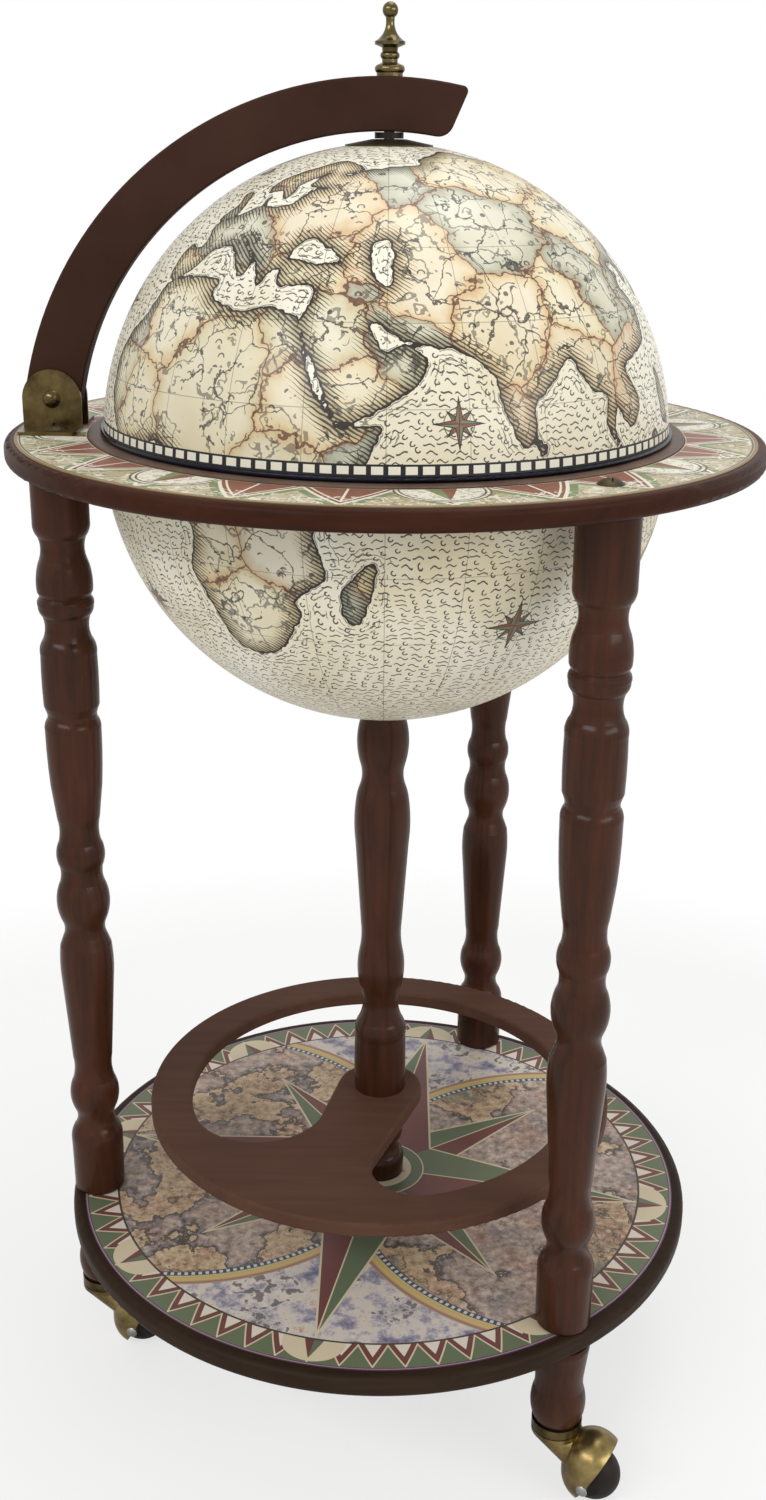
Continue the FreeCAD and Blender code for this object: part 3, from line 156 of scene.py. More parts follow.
# How many teeth, checks and hatched strokes go round.
TOOTH_COUNT = 64
RING_TOOTH_COUNT = 24
CHECK_COUNT = 120
HATCH_COUNT = 250

# Floor, and strength of the surround's light on the object.
FLOOR_RADIUS = 4.0
FLOOR_GAP = 0.0005
SURROUND_LIGHT = 0.45

# Camera, found by fitting the model's outline to the photograph.
CAMERA_PLACE = (0.0, -0.99806, 0.81831)
CAMERA_PITCH = math.radians(-20.562)
CAMERA_ROLL = math.radians(0.575)
CAMERA_LENS = 39.68


def paint(red, green, blue):
    """A colour as seen on a screen, 0 to 255, in the linear form that shaders take."""
    channels = []
    for level in (red, green, blue):
        share = level / 255
        channels.append(share / 12.92 if share <= 0.04045 else ((share + 0.055) / 1.055) ** 2.4)
    return (*channels, 1.0)


class Wire:
    """A shader socket that takes part in sums like a number."""

    def __init__(self, tree, socket):
        self.tree = tree
        self.socket = socket

    def __add__(self, other):
        return self.tree.math("ADD", self, other)

    __radd__ = __add__

    def __sub__(self, other):
        return self.tree.math("SUBTRACT", self, other)

    def __rsub__(self, other):
        return self.tree.math("SUBTRACT", other, self)

    def __mul__(self, other):
        return self.tree.math("MULTIPLY", self, other)

    __rmul__ = __mul__

    def __truediv__(self, other):
        return self.tree.math("DIVIDE", self, other)

    def __rtruediv__(self, other):
        return self.tree.math("DIVIDE", other, self)

    def __mod__(self, other):
        return self.tree.math("FLOORED_MODULO", self, other)

    def __lt__(self, other):
        return self.tree.math("LESS_THAN", self, other)

    def __gt__(self, other):
        return self.tree.math("GREATER_THAN", self, other)

    def __abs__(self):
        return self.tree.math("ABSOLUTE", self)

    def inside(self, low, high):
        return (self > low) * (self < high)


class Tree:
    """A shader node tree, written as sums."""

    def __init__(self, tree):
        self.tree = tree

    def node(self, kind, settings, sockets, output=0):
        """Add a node of that kind, and give back one of its outputs."""
        made = self.tree.nodes.new(kind)
        for name, value in settings.items():
            if name == "stops":
                self.set_stops(made.color_ramp, value)
            else:
                setattr(made, name, value)
        for name, value in sockets.items():
            self.feed(made.inputs[name], value)
        return Wire(self, made.outputs[output])

    def feed(self, socket, value):
        if isinstance(value, Wire):
            self.tree.links.new(value.socket, socket)
        else:
            socket.default_value = value

    def set_stops(self, ramp, stops):
        while len(ramp.elements) < len(stops):
            ramp.elements.new(1.0)
        for element, (position, colour) in zip(ramp.elements, stops):
            element.position = position
            element.color = colour

    def math(self, operation, *values):
        return self.node("ShaderNodeMath", {"operation": operation}, dict(enumerate(values)))

    def vector(self, operation, first, second):
        return self.node("ShaderNodeVectorMath", {"operation": operation}, {0: first, 1: second})

    def least(self, first, second):
        return self.math("MINIMUM", first, second)

    def most(self, first, second):
        return self.math("MAXIMUM", first, second)

    def mix(self, share, under, over):
        return self.node("ShaderNodeMix", {"data_type": "RGBA"}, {0: share, 6: under, 7: over}, 2)

    def ramp(self, share, stops):
        return self.node("ShaderNodeValToRGB", {"stops": stops}, {0: share})

    def fade(self, value, start, end):
        """0 before start, 1 after end, and even in between."""
        return self.node("ShaderNodeMapRange", {}, {"Value": value, "From Min": start, "From Max": end})

    def seen_by(self, *rays):
        """1 for light paths of one of those kinds."""
        share = 0.0
        for ray in rays:
            share = share + self.node("ShaderNodeLightPath", {}, {}, f"Is {ray} Ray")
        return self.least(share, 1.0)


class Finish(Tree):
    """One material; its place is a point in the object's own coordinates."""

    def __init__(self, name):
        self.material = bpy.data.materials.new(name)
        self.material.use_nodes = True
        super().__init__(self.material.node_tree)
        self.surface = self.tree.nodes["Principled BSDF"]
        self.place = self.node("ShaderNodeTexCoord", {}, {}, "Object")

    def noise(self, size, detail=2.0, place=None, roughness=0.5, distortion=0.0):
        """Cloudy values from 0 to 1 with clouds of that size."""
        sockets = {"Vector": place or self.place, "Scale": 1 / size, "Detail": detail}
        sockets.update({"Roughness": roughness, "Distortion": distortion})
        return self.node("ShaderNodeTexNoise", {}, sockets)

    def level_lines(self, cloud, count, width):
        """1 on the lines that join equal values of a cloud; width is a share of their spacing."""
        return abs((cloud * count) % 1.0 - 0.5) < width / 2

    def place_mm(self, axes):
        return [self.node("ShaderNodeSeparateXYZ", {}, {0: self.place}, axis) * (1 / MM) for axis in axes]

    def bump(self, height, depth):
        sockets = {"Height": height, "Strength": 1.0, "Distance": depth}
        return self.node("ShaderNodeBump", {}, sockets, "Normal")

    def done(self, **sockets):
        """Feed the surface's sockets, named with underscores for spaces, and give the material."""
        for name, value in sockets.items():
            self.feed(self.surface.inputs[name.replace("_", " ")], value)
        return self.material


def wood(name, dark, light, stretch, gloss, shine=0.05):
    """Stained wood with grain drawn out along the axis that stretch shrinks most."""
    grain_size, cloud_size, pore_depth = 0.006, 0.09, 0.00005
    finish = Finish(name)
    along = finish.vector("MULTIPLY", finish.place, stretch)
    streak = finish.noise(grain_size, 4.0, along, 0.6)
    cloud = finish.noise(cloud_size, 2.0)
    share = finish.fade(streak * 0.6 + cloud * 0.4, 0.3, 0.7)
    pores = finish.noise(grain_size / 4, 2.0, along)
    return finish.done(
        Base_Color=finish.mix(share, dark, light), Roughness=gloss + 0.1 * cloud, Specular_IOR_Level=shine,
        Normal=finish.bump(pores, pore_depth),
    )


def metal(name, dark, light, roughness):
    """Aged metal: a little darker in clouds, and a little uneven in gloss."""
    patch_size, pit_size, pit_depth = 0.014, 0.0015, 0.00002
    finish = Finish(name)
    cloud = finish.noise(patch_size, 4.0, roughness=0.6)
    pits = finish.noise(pit_size, 2.0)
    return finish.done(
        Base_Color=finish.mix(finish.fade(cloud, 0.3, 0.7), dark, light), Metallic=0.9,
        Roughness=roughness + 0.1 * cloud, Normal=finish.bump(pits, pit_depth),
    )


def plain(name, dark, light, roughness):
    """Smooth moulded or painted stuff with faint clouds."""
    cloud_size = 0.02
    finish = Finish(name)
    cloud = finish.noise(cloud_size, 3.0)
    return finish.done(
        Base_Color=finish.mix(finish.fade(cloud, 0.3, 0.7), dark, light), Roughness=roughness + 0.08 * cloud,
        Specular_IOR_Level=0.15,
    )


def star(finish, bearing, radius, turn, tip, valley):
    """Distance outside a four-pointed star, then the bearing and distance from its nearest point's middle."""
    sector = math.pi / 2
    lean = (bearing - math.radians(turn) + sector / 2) % sector - sector / 2
    across = radius * finish.math("COSINE", lean)
    up = abs(radius * finish.math("SINE", lean))
    edge_out = valley * math.sin(sector / 2)
    edge_in = tip - valley * math.cos(sector / 2)
    outside = ((across - tip) * edge_out + up * edge_in) * (1 / math.hypot(edge_out, edge_in))
    return outside, lean, up


def lay_star(finish, colour, bearing, radius, turn, tip, valley, inks, line):
    """Print a star of two inks with pale outlines over the colour."""
    first, second, pale = inks
    outside, lean, up = star(finish, bearing, radius, turn, tip, valley)
    colour = finish.mix((outside < 0.0) * (lean > 0.0), colour, first)
    colour = finish.mix((outside < 0.0) * (lean < 0.0), colour, second)
    outline = (abs(outside) < line) + (up < line * 0.7) * (outside < line)
    return finish.mix(finish.least(outline, 1.0), colour, pale)


def lay_rose(finish, colour, middle, out, reach, inks):
    """Print a small compass rose about one place of the sea; reach is in millimetres."""
    line, out_of_reach = 0.25, 1000.0
    east = Vector((-out.y, out.x, 0)).normalized()
    offset = finish.vector("SUBTRACT", finish.place, middle)
    spans = []
    for direction in (east, out.cross(east), out):
        pair = {0: offset, 1: direction}
        span = finish.node("ShaderNodeVectorMath", {"operation": "DOT_PRODUCT"}, pair, "Value")
        spans.append(span * (1 / MM))
    across, up, above = spans
    bearing = finish.math("ARCTAN2", up, across)
    far_side = (above < -reach) * out_of_reach
    radius = finish.math("SQRT", across * across + up * up) + far_side
    ring = abs(radius - reach * 0.62) < 0.3
    colour = finish.mix(ring * 0.8, colour, inks[2])
    colour = lay_star(finish, colour, bearing, radius, 45.0, reach * 0.7, reach * 0.2, inks, line)
    return lay_star(finish, colour, bearing, radius, 0.0, reach, reach * 0.22, inks, line)


def lay_sea(finish, colour, shore, bearing, level, radius, ink):
    """Draw rows of waves and curls on the sea, and broken lines along the coasts; radius in mm."""
    row_height, pitch, row_shift, wobble = 3.9, 7.6, 0.37, 4.0
    wave_line, wave_reach, wave_share = 0.4, 3.0, 0.62
    curl_line, curl_radius, curl_gap = 0.38, 1.25, 0.9
    up = level * (radius / row_height) + finish.noise(0.035, 1.0) * wobble
    row = finish.math("FLOOR", up)
    middle = (row - (wobble - 1.0) / 2) * (row_height / radius)
    girth = finish.math("COSINE", middle) * (math.tau * radius)
    turn = bearing * finish.math("FLOOR", girth / pitch) * (1 / math.tau) + row * row_shift
    cell = finish.math("FLOOR", turn)
    spot = finish.node("ShaderNodeCombineXYZ", {}, {"X": cell, "Y": row})
    luck = finish.node("ShaderNodeTexWhiteNoise", {"noise_dimensions": "2D"}, {"Vector": spot}, "Color")
    shift, drop, kind = [
        finish.node("ShaderNodeSeparateColor", {}, {0: luck}, channel) for channel in ("Red", "Green", "Blue")
    ]
    across = (turn - cell - 0.5) * pitch + (shift - 0.5) * 1.8
    rise = (up - row - 0.5) * row_height + (drop - 0.5) * 1.5
    crest = finish.math("SINE", across * 1.1 + kind * math.tau) * (0.35 + kind)
    wave = (abs(rise - crest) < wave_line) * (abs(across) < wave_reach) * (kind < wave_share)
    curl = abs(finish.math("SQRT", across * across + rise * rise) - curl_radius) < curl_line
    curl = curl * (across + rise < curl_gap) * (kind > wave_share)
    colour = finish.mix((wave + curl) * (shore < -2.5) * 0.92, colour, ink)
    swell = finish.level_lines(shore, 0.4, 0.24) * shore.inside(-9.0, -0.8) * (finish.noise(0.008, 1.0) > 0.5)
    return finish.mix(swell * 0.7, colour, ink)


def lay_lands(finish, colour, shore, bearing, level, radius, z, ink):
    """Tint the lands country by country, and draw borders, rivers, hills and hatched coasts; radius in mm."""
    country_size, province_size, hill_size = 0.056, 0.024, 0.008
    ripples_per_metre, ripple_reach = 55.0, 0.024
    tint_reach, wash_reach, shade_reach = 10.0, 3.2, 6.5
    province_line, border_line, coast_line, hatch_pitch = 0.38, 0.5, 0.65, 2.5
    border_ink, border_wash, umber = paint(86, 52, 36), paint(192, 122, 80), paint(84, 78, 56)
    ripple = {"Vector": finish.place, "Scale": ripples_per_metre, "Detail": 5.0}
    warp = finish.node("ShaderNodeTexNoise", {}, ripple, "Color")
    warp = finish.node("ShaderNodeVectorMath", {"operation": "SCALE"}, {0: warp, "Scale": ripple_reach})
    warped = finish.vector("ADD", finish.place, warp)
    mosaic = {"Vector": warped, "Scale": 1 / country_size}
    country = finish.node("ShaderNodeTexVoronoi", {}, mosaic, "Color")
    border = finish.node("ShaderNodeTexVoronoi", {"feature": "DISTANCE_TO_EDGE"}, mosaic, "Distance")
    border = border * (country_size / MM)
    tint = finish.ramp(
        finish.node("ShaderNodeSeparateColor", {}, {0: country}),
        [
            (0.0, paint(210, 182, 110)), (0.18, paint(102, 124, 106)), (0.36, paint(212, 192, 134)),
            (0.5, paint(210, 176, 116)), (0.64, paint(96, 112, 94)), (0.82, paint(216, 198, 142)),
            (0.94, paint(198, 158, 106)),
        ],
    )
    edge_strength = 1.0 - finish.fade(finish.least(border, shore * 0.8), 0.0, tint_reach)
    land = shore > 0.0
    colour = finish.mix(land * (0.24 + 0.52 * edge_strength), colour, tint)
    provinces = {"Vector": warped, "Scale": 1 / province_size}
    province = finish.node("ShaderNodeTexVoronoi", {"feature": "DISTANCE_TO_EDGE"}, provinces, "Distance")
    province = (province * (province_size / MM) < province_line) * (finish.noise(0.03, 1.0) > 0.4)
    colour = finish.mix(province * (shore > 2.0) * 0.85, colour, ink)

    rivers = (abs(finish.noise(0.045, 5.0) - 0.5) < 0.007) * (shore > 3.0)
    colour = finish.mix(rivers * 0.7, colour, paint(84, 84, 78))
    spread = {"Vector": finish.place, "Scale": 1 / hill_size}
    away = finish.node("ShaderNodeTexVoronoi", {}, spread, "Distance") * (hill_size / MM)
    peak = finish.node("ShaderNodeTexVoronoi", {}, spread, "Position")
    peak_z = finish.node("ShaderNodeSeparateXYZ", {}, {0: peak}, "Z") * (1 / MM)
    hills = away.inside(1.5, 2.3) * (z > peak_z) * (finish.noise(0.03, 2.0) > 0.46) * (shore > 4.0)
    colour = finish.mix(hills * 0.8, colour, ink)
    marks = finish.level_lines(finish.noise(0.009, 2.0), 4.0, 0.2) * (finish.noise(0.011, 1.0) > 0.55)
    colour = finish.mix(marks * (shore > 5.0) * 0.6, colour, ink)
    colour = finish.mix((1.0 - finish.fade(border, 0.0, wash_reach)) * land * 0.32, colour, border_wash)
    colour = finish.mix((border < border_line) * land * 0.85, colour, border_ink)

    shade = land * (1.0 - finish.fade(shore, 0.0, shade_reach))
    colour = finish.mix(shade * 0.5, colour, umber)
    slant = level * (radius / hatch_pitch) + bearing * (HATCH_COUNT / math.tau) + finish.noise(0.012) * 1.4
    reach = 1.0 + finish.noise(0.014, 2.0) * 13.0 + finish.noise(0.003) * 7.0
    stroke = abs(slant % 1.0 - 0.5) < 0.3 * (1.0 - shore / reach)
    colour = finish.mix(stroke * land * 0.9, colour, ink)
    return finish.mix(abs(shore) < coast_line, colour, ink)


def globe_print(name, radius, rim):
    """Old map: tinted lands with hatched coasts on an ivory sea; a rim height adds a checkered band."""
    ivory, aged, ink = paint(238, 233, 215), paint(216, 205, 172), paint(36, 29, 24)
    finish = Finish(name)
    coast = finish.node("ShaderNodeAttribute", {"attribute_name": "coast_mm"}, {}, "Fac")
    x, y, z = finish.place_mm("XYZ")
    height = z - GLOBE_HEIGHT / MM
    shore = coast + (finish.noise(0.007, 4.0) - 0.5) * 6.0
    stain = finish.noise(0.09, 4.0)
    colour = finish.mix(finish.fade(stain, 0.42, 0.72), ivory, aged)
    bearing = finish.math("ARCTAN2", y, x)
    level = finish.math("ARCSINE", height * (MM / radius))
    colour = lay_sea(finish, colour, shore, bearing, level, radius / MM, ink)
    colour = lay_lands(finish, colour, shore, bearing, level, radius / MM, z, ink)

    # Meridians and parallels.
    girth = finish.math("COSINE", level) * (radius / MM)
    grid, grid_line = math.radians(15), 0.22
    meridian = abs((bearing / grid + 0.5) % 1.0 - 0.5) * girth * grid < grid_line
    parallel = abs((level / grid + 0.5) % 1.0 - 0.5) * (grid * radius / MM) < grid_line
    colour = finish.mix(finish.most(meridian, parallel) * 0.5, colour, ink)

    inks = (paint(112, 120, 92), paint(132, 80, 58), ink)
    for longitude, latitude, reach in ROSES:
        out = map_direction(longitude, latitude)
        colour = lay_rose(finish, colour, Vector((0, 0, GLOBE_HEIGHT)) + out * radius, out, reach, inks)

    if rim is not None:
        check_low, check_high, band_height = 1.1, 5.2, 6.3
        above_rim = height - rim / MM
        cell = (bearing * (CHECK_COUNT / math.tau)) % 1.0
        window = cell.inside(0.15, 0.85) * above_rim.inside(check_low, check_high)
        colour = finish.mix(above_rim < band_height, colour, paint(16, 15, 20))
        colour = finish.mix(window, colour, paint(232, 228, 210))
    return finish.done(
        Base_Color=colour, Roughness=0.36 + 0.1 * stain, Specular_IOR_Level=0.35, Coat_Weight=0.08,
        Coat_Roughness=0.15,
    )


def ring_print():
    """Zigzag of red-brown triangles, green strips and scrolls, with half-round ornaments between them."""
    cream, pale, brown = paint(176, 164, 130), paint(226, 221, 204), paint(132, 106, 70)
    red, green, line = paint(128, 80, 62), paint(118, 132, 92), paint(88, 80, 66)
    inner, outer = RING_PRINT_INNER / MM, RING_PRINT_OUTER / MM
    inner_margin, margins, line_width, strip_width = 1.0, 5.0, 1.0, 5.5
    inlay_start, inlay_end = -4.2, -3.0
    dial_radius, inner_ring, outer_ring = 27.0, (23.5, 24.6), (26.2, 27.4)
    finish = Finish("ring_print")
    x, y = finish.place_mm("XY")
    bearing = finish.math("ARCTAN2", y, x)
    radius = finish.math("SQRT", x * x + y * y)
    stain = finish.noise(0.03, 4.0)
    colour = finish.mix(finish.fade(stain, 0.4, 0.9), cream, pale)

    tooth = math.tau / RING_TOOTH_COUNT
    middle = (inner + outer) / 2
    half_width = middle * tooth / 2
    depth = outer - inner - margins
    turn = math.radians(RING_ORNAMENT_TURN)
    swing = abs((bearing - turn + tooth / 2) % tooth - tooth / 2) * middle
    into = radius - inner - inner_margin
    slope = half_width / depth
    # Positive outside the red triangle that points outwards, and negative inside it.
    zigzag = (swing - half_width + into * slope) * (1 / math.hypot(1.0, slope))
    strip = into.inside(0.0, depth)
    scroll = finish.level_lines(finish.noise(0.008, 1.0, distortion=1.2), 4.0, 0.22)
    colour = finish.mix(scroll * strip * 0.6, colour, line)
    colour = finish.mix(zigzag.inside(0.0, strip_width) * (into > depth * 0.2) * strip, colour, green)
    colour = finish.mix((zigzag < 0.0) * strip, colour, red)
    colour = finish.mix(zigzag.inside(inlay_start, inlay_end) * strip, colour, pale)
    colour = finish.mix((swing < 0.7) * (zigzag < inlay_start) * strip, colour, pale)
    colour = finish.mix((abs(zigzag) < line_width) * strip, colour, pale)
    curl = finish.level_lines(finish.noise(0.011, 0.0, distortion=1.5), 3.0, 0.2)
    colour = finish.mix(curl * into.inside(depth * 0.5, depth) * 0.85, colour, pale)

    # Round ornaments, one to each eighth of the ring.
    eighth = math.tau / 8
    side = ((bearing - turn + eighth / 2) % eighth - eighth / 2) * middle
    from_middle = finish.math("SQRT", side * side + into * into * 0.8)
    dial = (from_middle < dial_radius) * strip
    colour = finish.mix(dial, colour, pale)
    rings = from_middle.inside(*inner_ring) + from_middle.inside(*outer_ring)
    colour = finish.mix(finish.most(rings, dial * scroll * 0.5) * strip, colour, line)
    needle = (abs(side) + into * 0.35 < 9.0) * strip
    colour = finish.mix(needle * (side < 0.0), colour, green)
    colour = finish.mix(needle * (side > 0.0), colour, red)

    rim = into - depth
    colour = finish.mix(rim.inside(0.4, 1.4), colour, line)
    colour = finish.mix(rim > 1.9, colour, brown)
    return finish.done(Base_Color=colour, Roughness=0.4 + 0.1 * stain, Specular_IOR_Level=0.35)


def lay_worlds(finish, colour, x, y, ink):
    """Print two round maps side by side along the star's second axis, each with a beaded arch round it."""
    world_reach, world_radius = 133.0, 150.0
    beads_start, arch_start, arch_end = -5.5, -1.5, 7.0
    bead_pitch, bead_margin = 4.6, 0.7
    axis = math.radians(STAR_TURN + 90)
    rounds = []
    for sign in (1, -1):
        far_x = x - sign * world_reach * math.cos(axis)
        far_y = y - sign * world_reach * math.sin(axis)
        far = finish.math("SQRT", far_x * far_x + far_y * far_y)
        rounds.append((far, finish.math("ARCTAN2", far_y, far_x)))
    nearer = rounds[0][0] < rounds[1][0]
    outside = finish.least(rounds[0][0], rounds[1][0]) - world_radius
    around = rounds[0][1] * nearer + rounds[1][1] * (1.0 - nearer)

    relief = finish.noise(0.085, 6.0, roughness=0.6)
    lands = finish.ramp(
        relief,
        [
            (0.34, paint(140, 130, 132)), (0.45, paint(190, 168, 154)), (0.487, paint(110, 110, 120)),
            (0.5, paint(208, 182, 148)), (0.57, paint(190, 160, 128)), (0.66, paint(120, 122, 108)),
        ],
    )
    blush = finish.noise(0.03, 3.0)
    lands = finish.mix(finish.fade(blush, 0.5, 0.7) * 0.55, lands, paint(176, 128, 112))
    speck = finish.noise(0.006, 4.0, roughness=0.7)
    lands = finish.mix(finish.fade(speck, 0.5, 0.62) * 0.6, lands, paint(96, 78, 64))
    lands = finish.mix((1.0 - finish.fade(speck, 0.36, 0.46)) * 0.6, lands, paint(222, 208, 184))
    coast = abs(relief - 0.495) < 0.008
    rivers = finish.level_lines(relief, 11.0, 0.14) * (relief > 0.51)
    marks = finish.level_lines(finish.noise(0.008, 2.0), 4.0, 0.2) * (finish.noise(0.012, 1.0) > 0.5)
    lines = finish.least(coast + rivers * 0.8 + marks * 0.4, 1.0)
    lands = finish.mix(lines * 0.85, lands, ink)
    colour = finish.mix(outside < 0.0, colour, lands)

    arch = finish.ramp(
        finish.fade(outside, arch_start, arch_end),
        [
            (0.0, paint(190, 192, 142)), (0.25, paint(206, 170, 102)), (0.55, paint(206, 180, 128)),
            (0.8, paint(146, 108, 82)), (1.0, paint(186, 150, 138)),
        ],
    )
    colour = finish.mix(outside.inside(arch_start, arch_end), colour, arch)
    bead = (around * (world_radius / bead_pitch)) % 1.0 < 0.5
    colour = finish.mix(outside.inside(beads_start, arch_start), colour, paint(50, 62, 88))
    bead = bead * outside.inside(beads_start + bead_margin, arch_start - bead_margin)
    return finish.mix(bead, colour, paint(206, 208, 204))


def base_print():
    """Compass star over a map of two worlds, inside a border of teeth and medallions."""
    cream, tan, white = paint(214, 200, 170), paint(170, 146, 116), paint(226, 217, 202)
    green, red, plum = paint(92, 108, 82), paint(104, 54, 54), paint(68, 38, 60)
    ink = paint(52, 42, 38)
    inks = (green, red, cream)
    edge = BASE_PRINT_RADIUS / MM
    map_edge, tooth_margin, rim_width = 183.0, 4.0, 2.2
    hub_line, hub_radius, hub_field = 32.0, 31.0, 23.0
    medal_width, medal_depth, medal_out, needle_length = 20.5, 17.5, 2.0, 17.0
    star_line, hub_star_line, frame_line = 0.7, 0.5, 0.7
    # Each star's reach and the reach of its valleys, the lower star first.
    stars, hub_stars = ((138.0, 34.0), (181.0, 44.0)), ((18.0, 8.0), (22.0, 9.0))
    finish = Finish("base_print")
    x, y = finish.place_mm("XY")
    bearing = finish.math("ARCTAN2", y, x)
    radius = finish.math("SQRT", x * x + y * y)

    # Clouds between the two worlds.
    colour = finish.ramp(
        finish.noise(0.016, 8.0, roughness=0.72),
        [
            (0.34, paint(92, 94, 122)), (0.44, paint(146, 142, 160)), (0.52, paint(206, 198, 194)),
            (0.6, paint(220, 206, 190)), (0.7, paint(158, 130, 112)),
        ],
    )
    lump = finish.noise(0.006, 4.0) * finish.fade(finish.noise(0.03, 1.0), 0.4, 0.55)
    colour = finish.mix(finish.fade(lump, 0.4, 0.48) * 0.5, colour, paint(226, 218, 206))
    colour = finish.mix(finish.fade(lump, 0.52, 0.58) * 0.8, colour, paint(70, 62, 74))
    colour = lay_worlds(finish, colour, x, y, ink)
    turns = (STAR_TURN - 45.0, STAR_TURN)
    for turn, (tip, valley) in zip(turns, stars):
        colour = lay_star(finish, colour, bearing, radius, turn, tip, valley, inks, star_line)
    colour = finish.mix(radius < hub_line, colour, cream)
    colour = finish.mix(radius < hub_radius, colour, green)
    colour = finish.mix(radius < hub_field, colour, cream)
    for turn, (tip, valley) in zip(turns, hub_stars):
        colour = lay_star(finish, colour, bearing, radius, turn, tip, valley, inks, hub_star_line)

    # Border teeth point outwards; a medallion covers them at each eighth.
    tooth = math.tau / TOOTH_COUNT
    turn = math.radians(MEDALLION_TURN)
    half_width = map_edge * tooth / 2
    depth = edge - map_edge - tooth_margin
    swing = abs((bearing - turn + tooth / 2) % tooth - tooth / 2) * map_edge
    into = radius - map_edge
    slope = half_width / depth
    within = (half_width - into * slope - swing) * (1 / math.hypot(1.0, slope))
    frieze = finish.mix(within > -1.0, green, cream)
    frieze = finish.mix(within > 0.0, frieze, red)
    frieze = finish.mix(within > 3.2, frieze, white)
    eighth = math.tau / 8
    side = ((bearing - turn + eighth / 2) % eighth - eighth / 2) * (map_edge + depth / 2)
    outward = into - medal_out
    medal = side * side * (1 / medal_width**2) + outward * outward * (1 / medal_depth**2)
    frieze = finish.mix(medal < 1.0, frieze, cream)
    needle = abs(side) * 2.6 + into < needle_length
    frieze = finish.mix(needle * (side > 0.0), frieze, green)
    frieze = finish.mix(needle * (side < 0.0), frieze, red)
    frieze = finish.mix(abs(into) < frame_line, frieze, ink)
    colour = finish.mix(into > -frame_line, colour, frieze)
    colour = finish.mix(radius > edge - rim_width, colour, plum)
    # Painted highlight: a thin lilac line just inside the plum rim, all the way round, stands in for the
    # gloss on the rounded edge.
    colour = finish.mix(radius.inside(edge - 1.6, edge - 0.7) * 0.8, colour, paint(168, 138, 166))
    wear = finish.noise(0.05, 5.0)
    colour = finish.mix(wear * 0.16, colour, tan)
    return finish.done(Base_Color=colour, Roughness=0.38 + 0.12 * wear, Specular_IOR_Level=0.35)


def map_direction(longitude, latitude):
    """The direction from the globe's middle to a place on its map; FRONT_LONGITUDE faces the front."""
    turn = math.radians(longitude - FRONT_LONGITUDE - 90)
    level = math.radians(latitude)
    return Vector((math.cos(level) * math.cos(turn), math.cos(level) * math.sin(turn), math.sin(level)))


def smooth_coast(corners):
    """Places every COAST_STEP degrees or so along a smooth closed line through the corners."""
    corners = np.array(corners, float)
    places = []
    for index, start in enumerate(corners):
        before = corners[index - 1]
        end = corners[(index + 1) % len(corners)]
        after = corners[(index + 2) % len(corners)]
        steps = max(2, int(np.hypot(*(end - start)) / COAST_STEP))
        for share in np.arange(steps) / steps:
            pull = (end - before) * share + (2 * before - 5 * start + 4 * end - after) * share**2
            pull += (3 * start - before - 3 * end + after) * share**3
            places.append(start + pull / 2)
    return np.array(places)


def coast_tree(coasts):
    """All coast places as directions, to find the nearest."""
    places = np.concatenate(coasts)
    tree = KDTree(len(places))
    for index, place in enumerate(places):
        tree.insert(map_direction(*place), index)
    tree.balance()
    return tree


def on_land(coasts, longitude, latitude):
    """True where a place lies within an odd number of coasts."""
    land = np.zeros(len(longitude), bool)
    for places in coasts:
        for (x0, y0), (x1, y1) in zip(places, np.roll(places, -1, axis=0)):
            crossed = (y0 > latitude) != (y1 > latitude)
            if crossed.any():
                land[crossed] ^= longitude[crossed] < x0 + (x1 - x0) * (latitude[crossed] - y0) / (y1 - y0)
    return land


def arc_points(radius, start, end, step):
    """Points of a section along an arc, no more than a step apart."""
    count = max(2, math.ceil(abs(end - start) / step))
    angles = [start + (end - start) * index / count for index in range(count + 1)]
    return [(radius * math.cos(angle), radius * math.sin(angle)) for angle in angles]


def globe_shell(name, radius, outer_span, inner_span):
    """A hollow part of the globe, spun from its section, with the map's coasts stored on it."""
    section = arc_points(radius, *outer_span, MAP_STEP)
    section += reversed(arc_points(radius - SHELL_WALL, *inner_span, LINING_STEP))
    mesh = bmesh.new()
    verts = [mesh.verts.new((across, 0, up + GLOBE_HEIGHT)) for across, up in section]
    edges = [mesh.edges.new(pair) for pair in zip(verts, verts[1:] + verts[:1])]
    bmesh.ops.spin(
        mesh, geom=verts + edges, axis=(0, 0, 1), cent=(0, 0, 0), angle=math.tau,
        steps=round(math.tau / MAP_STEP), use_merge=True,
    )
    bmesh.ops.remove_doubles(mesh, verts=mesh.verts, dist=MAP_STEP * radius * 0.001)
    bmesh.ops.recalc_face_normals(mesh, faces=mesh.faces)
    center = Vector((0, 0, GLOBE_HEIGHT))
    for face in mesh.faces:
        face.smooth = True
        face.material_index = int((face.calc_center_median() - center).length < radius - SHELL_WALL / 2)
    for edge in mesh.edges:
        if edge.calc_face_angle(0.0) > SHARP_EDGE:
            edge.smooth = False
    write_coasts(mesh, radius, center)
    data = bpy.data.meshes.new(name)
    mesh.to_mesh(data)
    mesh.free()
    piece = bpy.data.objects.new(name, data)
    bpy.context.scene.collection.objects.link(piece)
    return piece


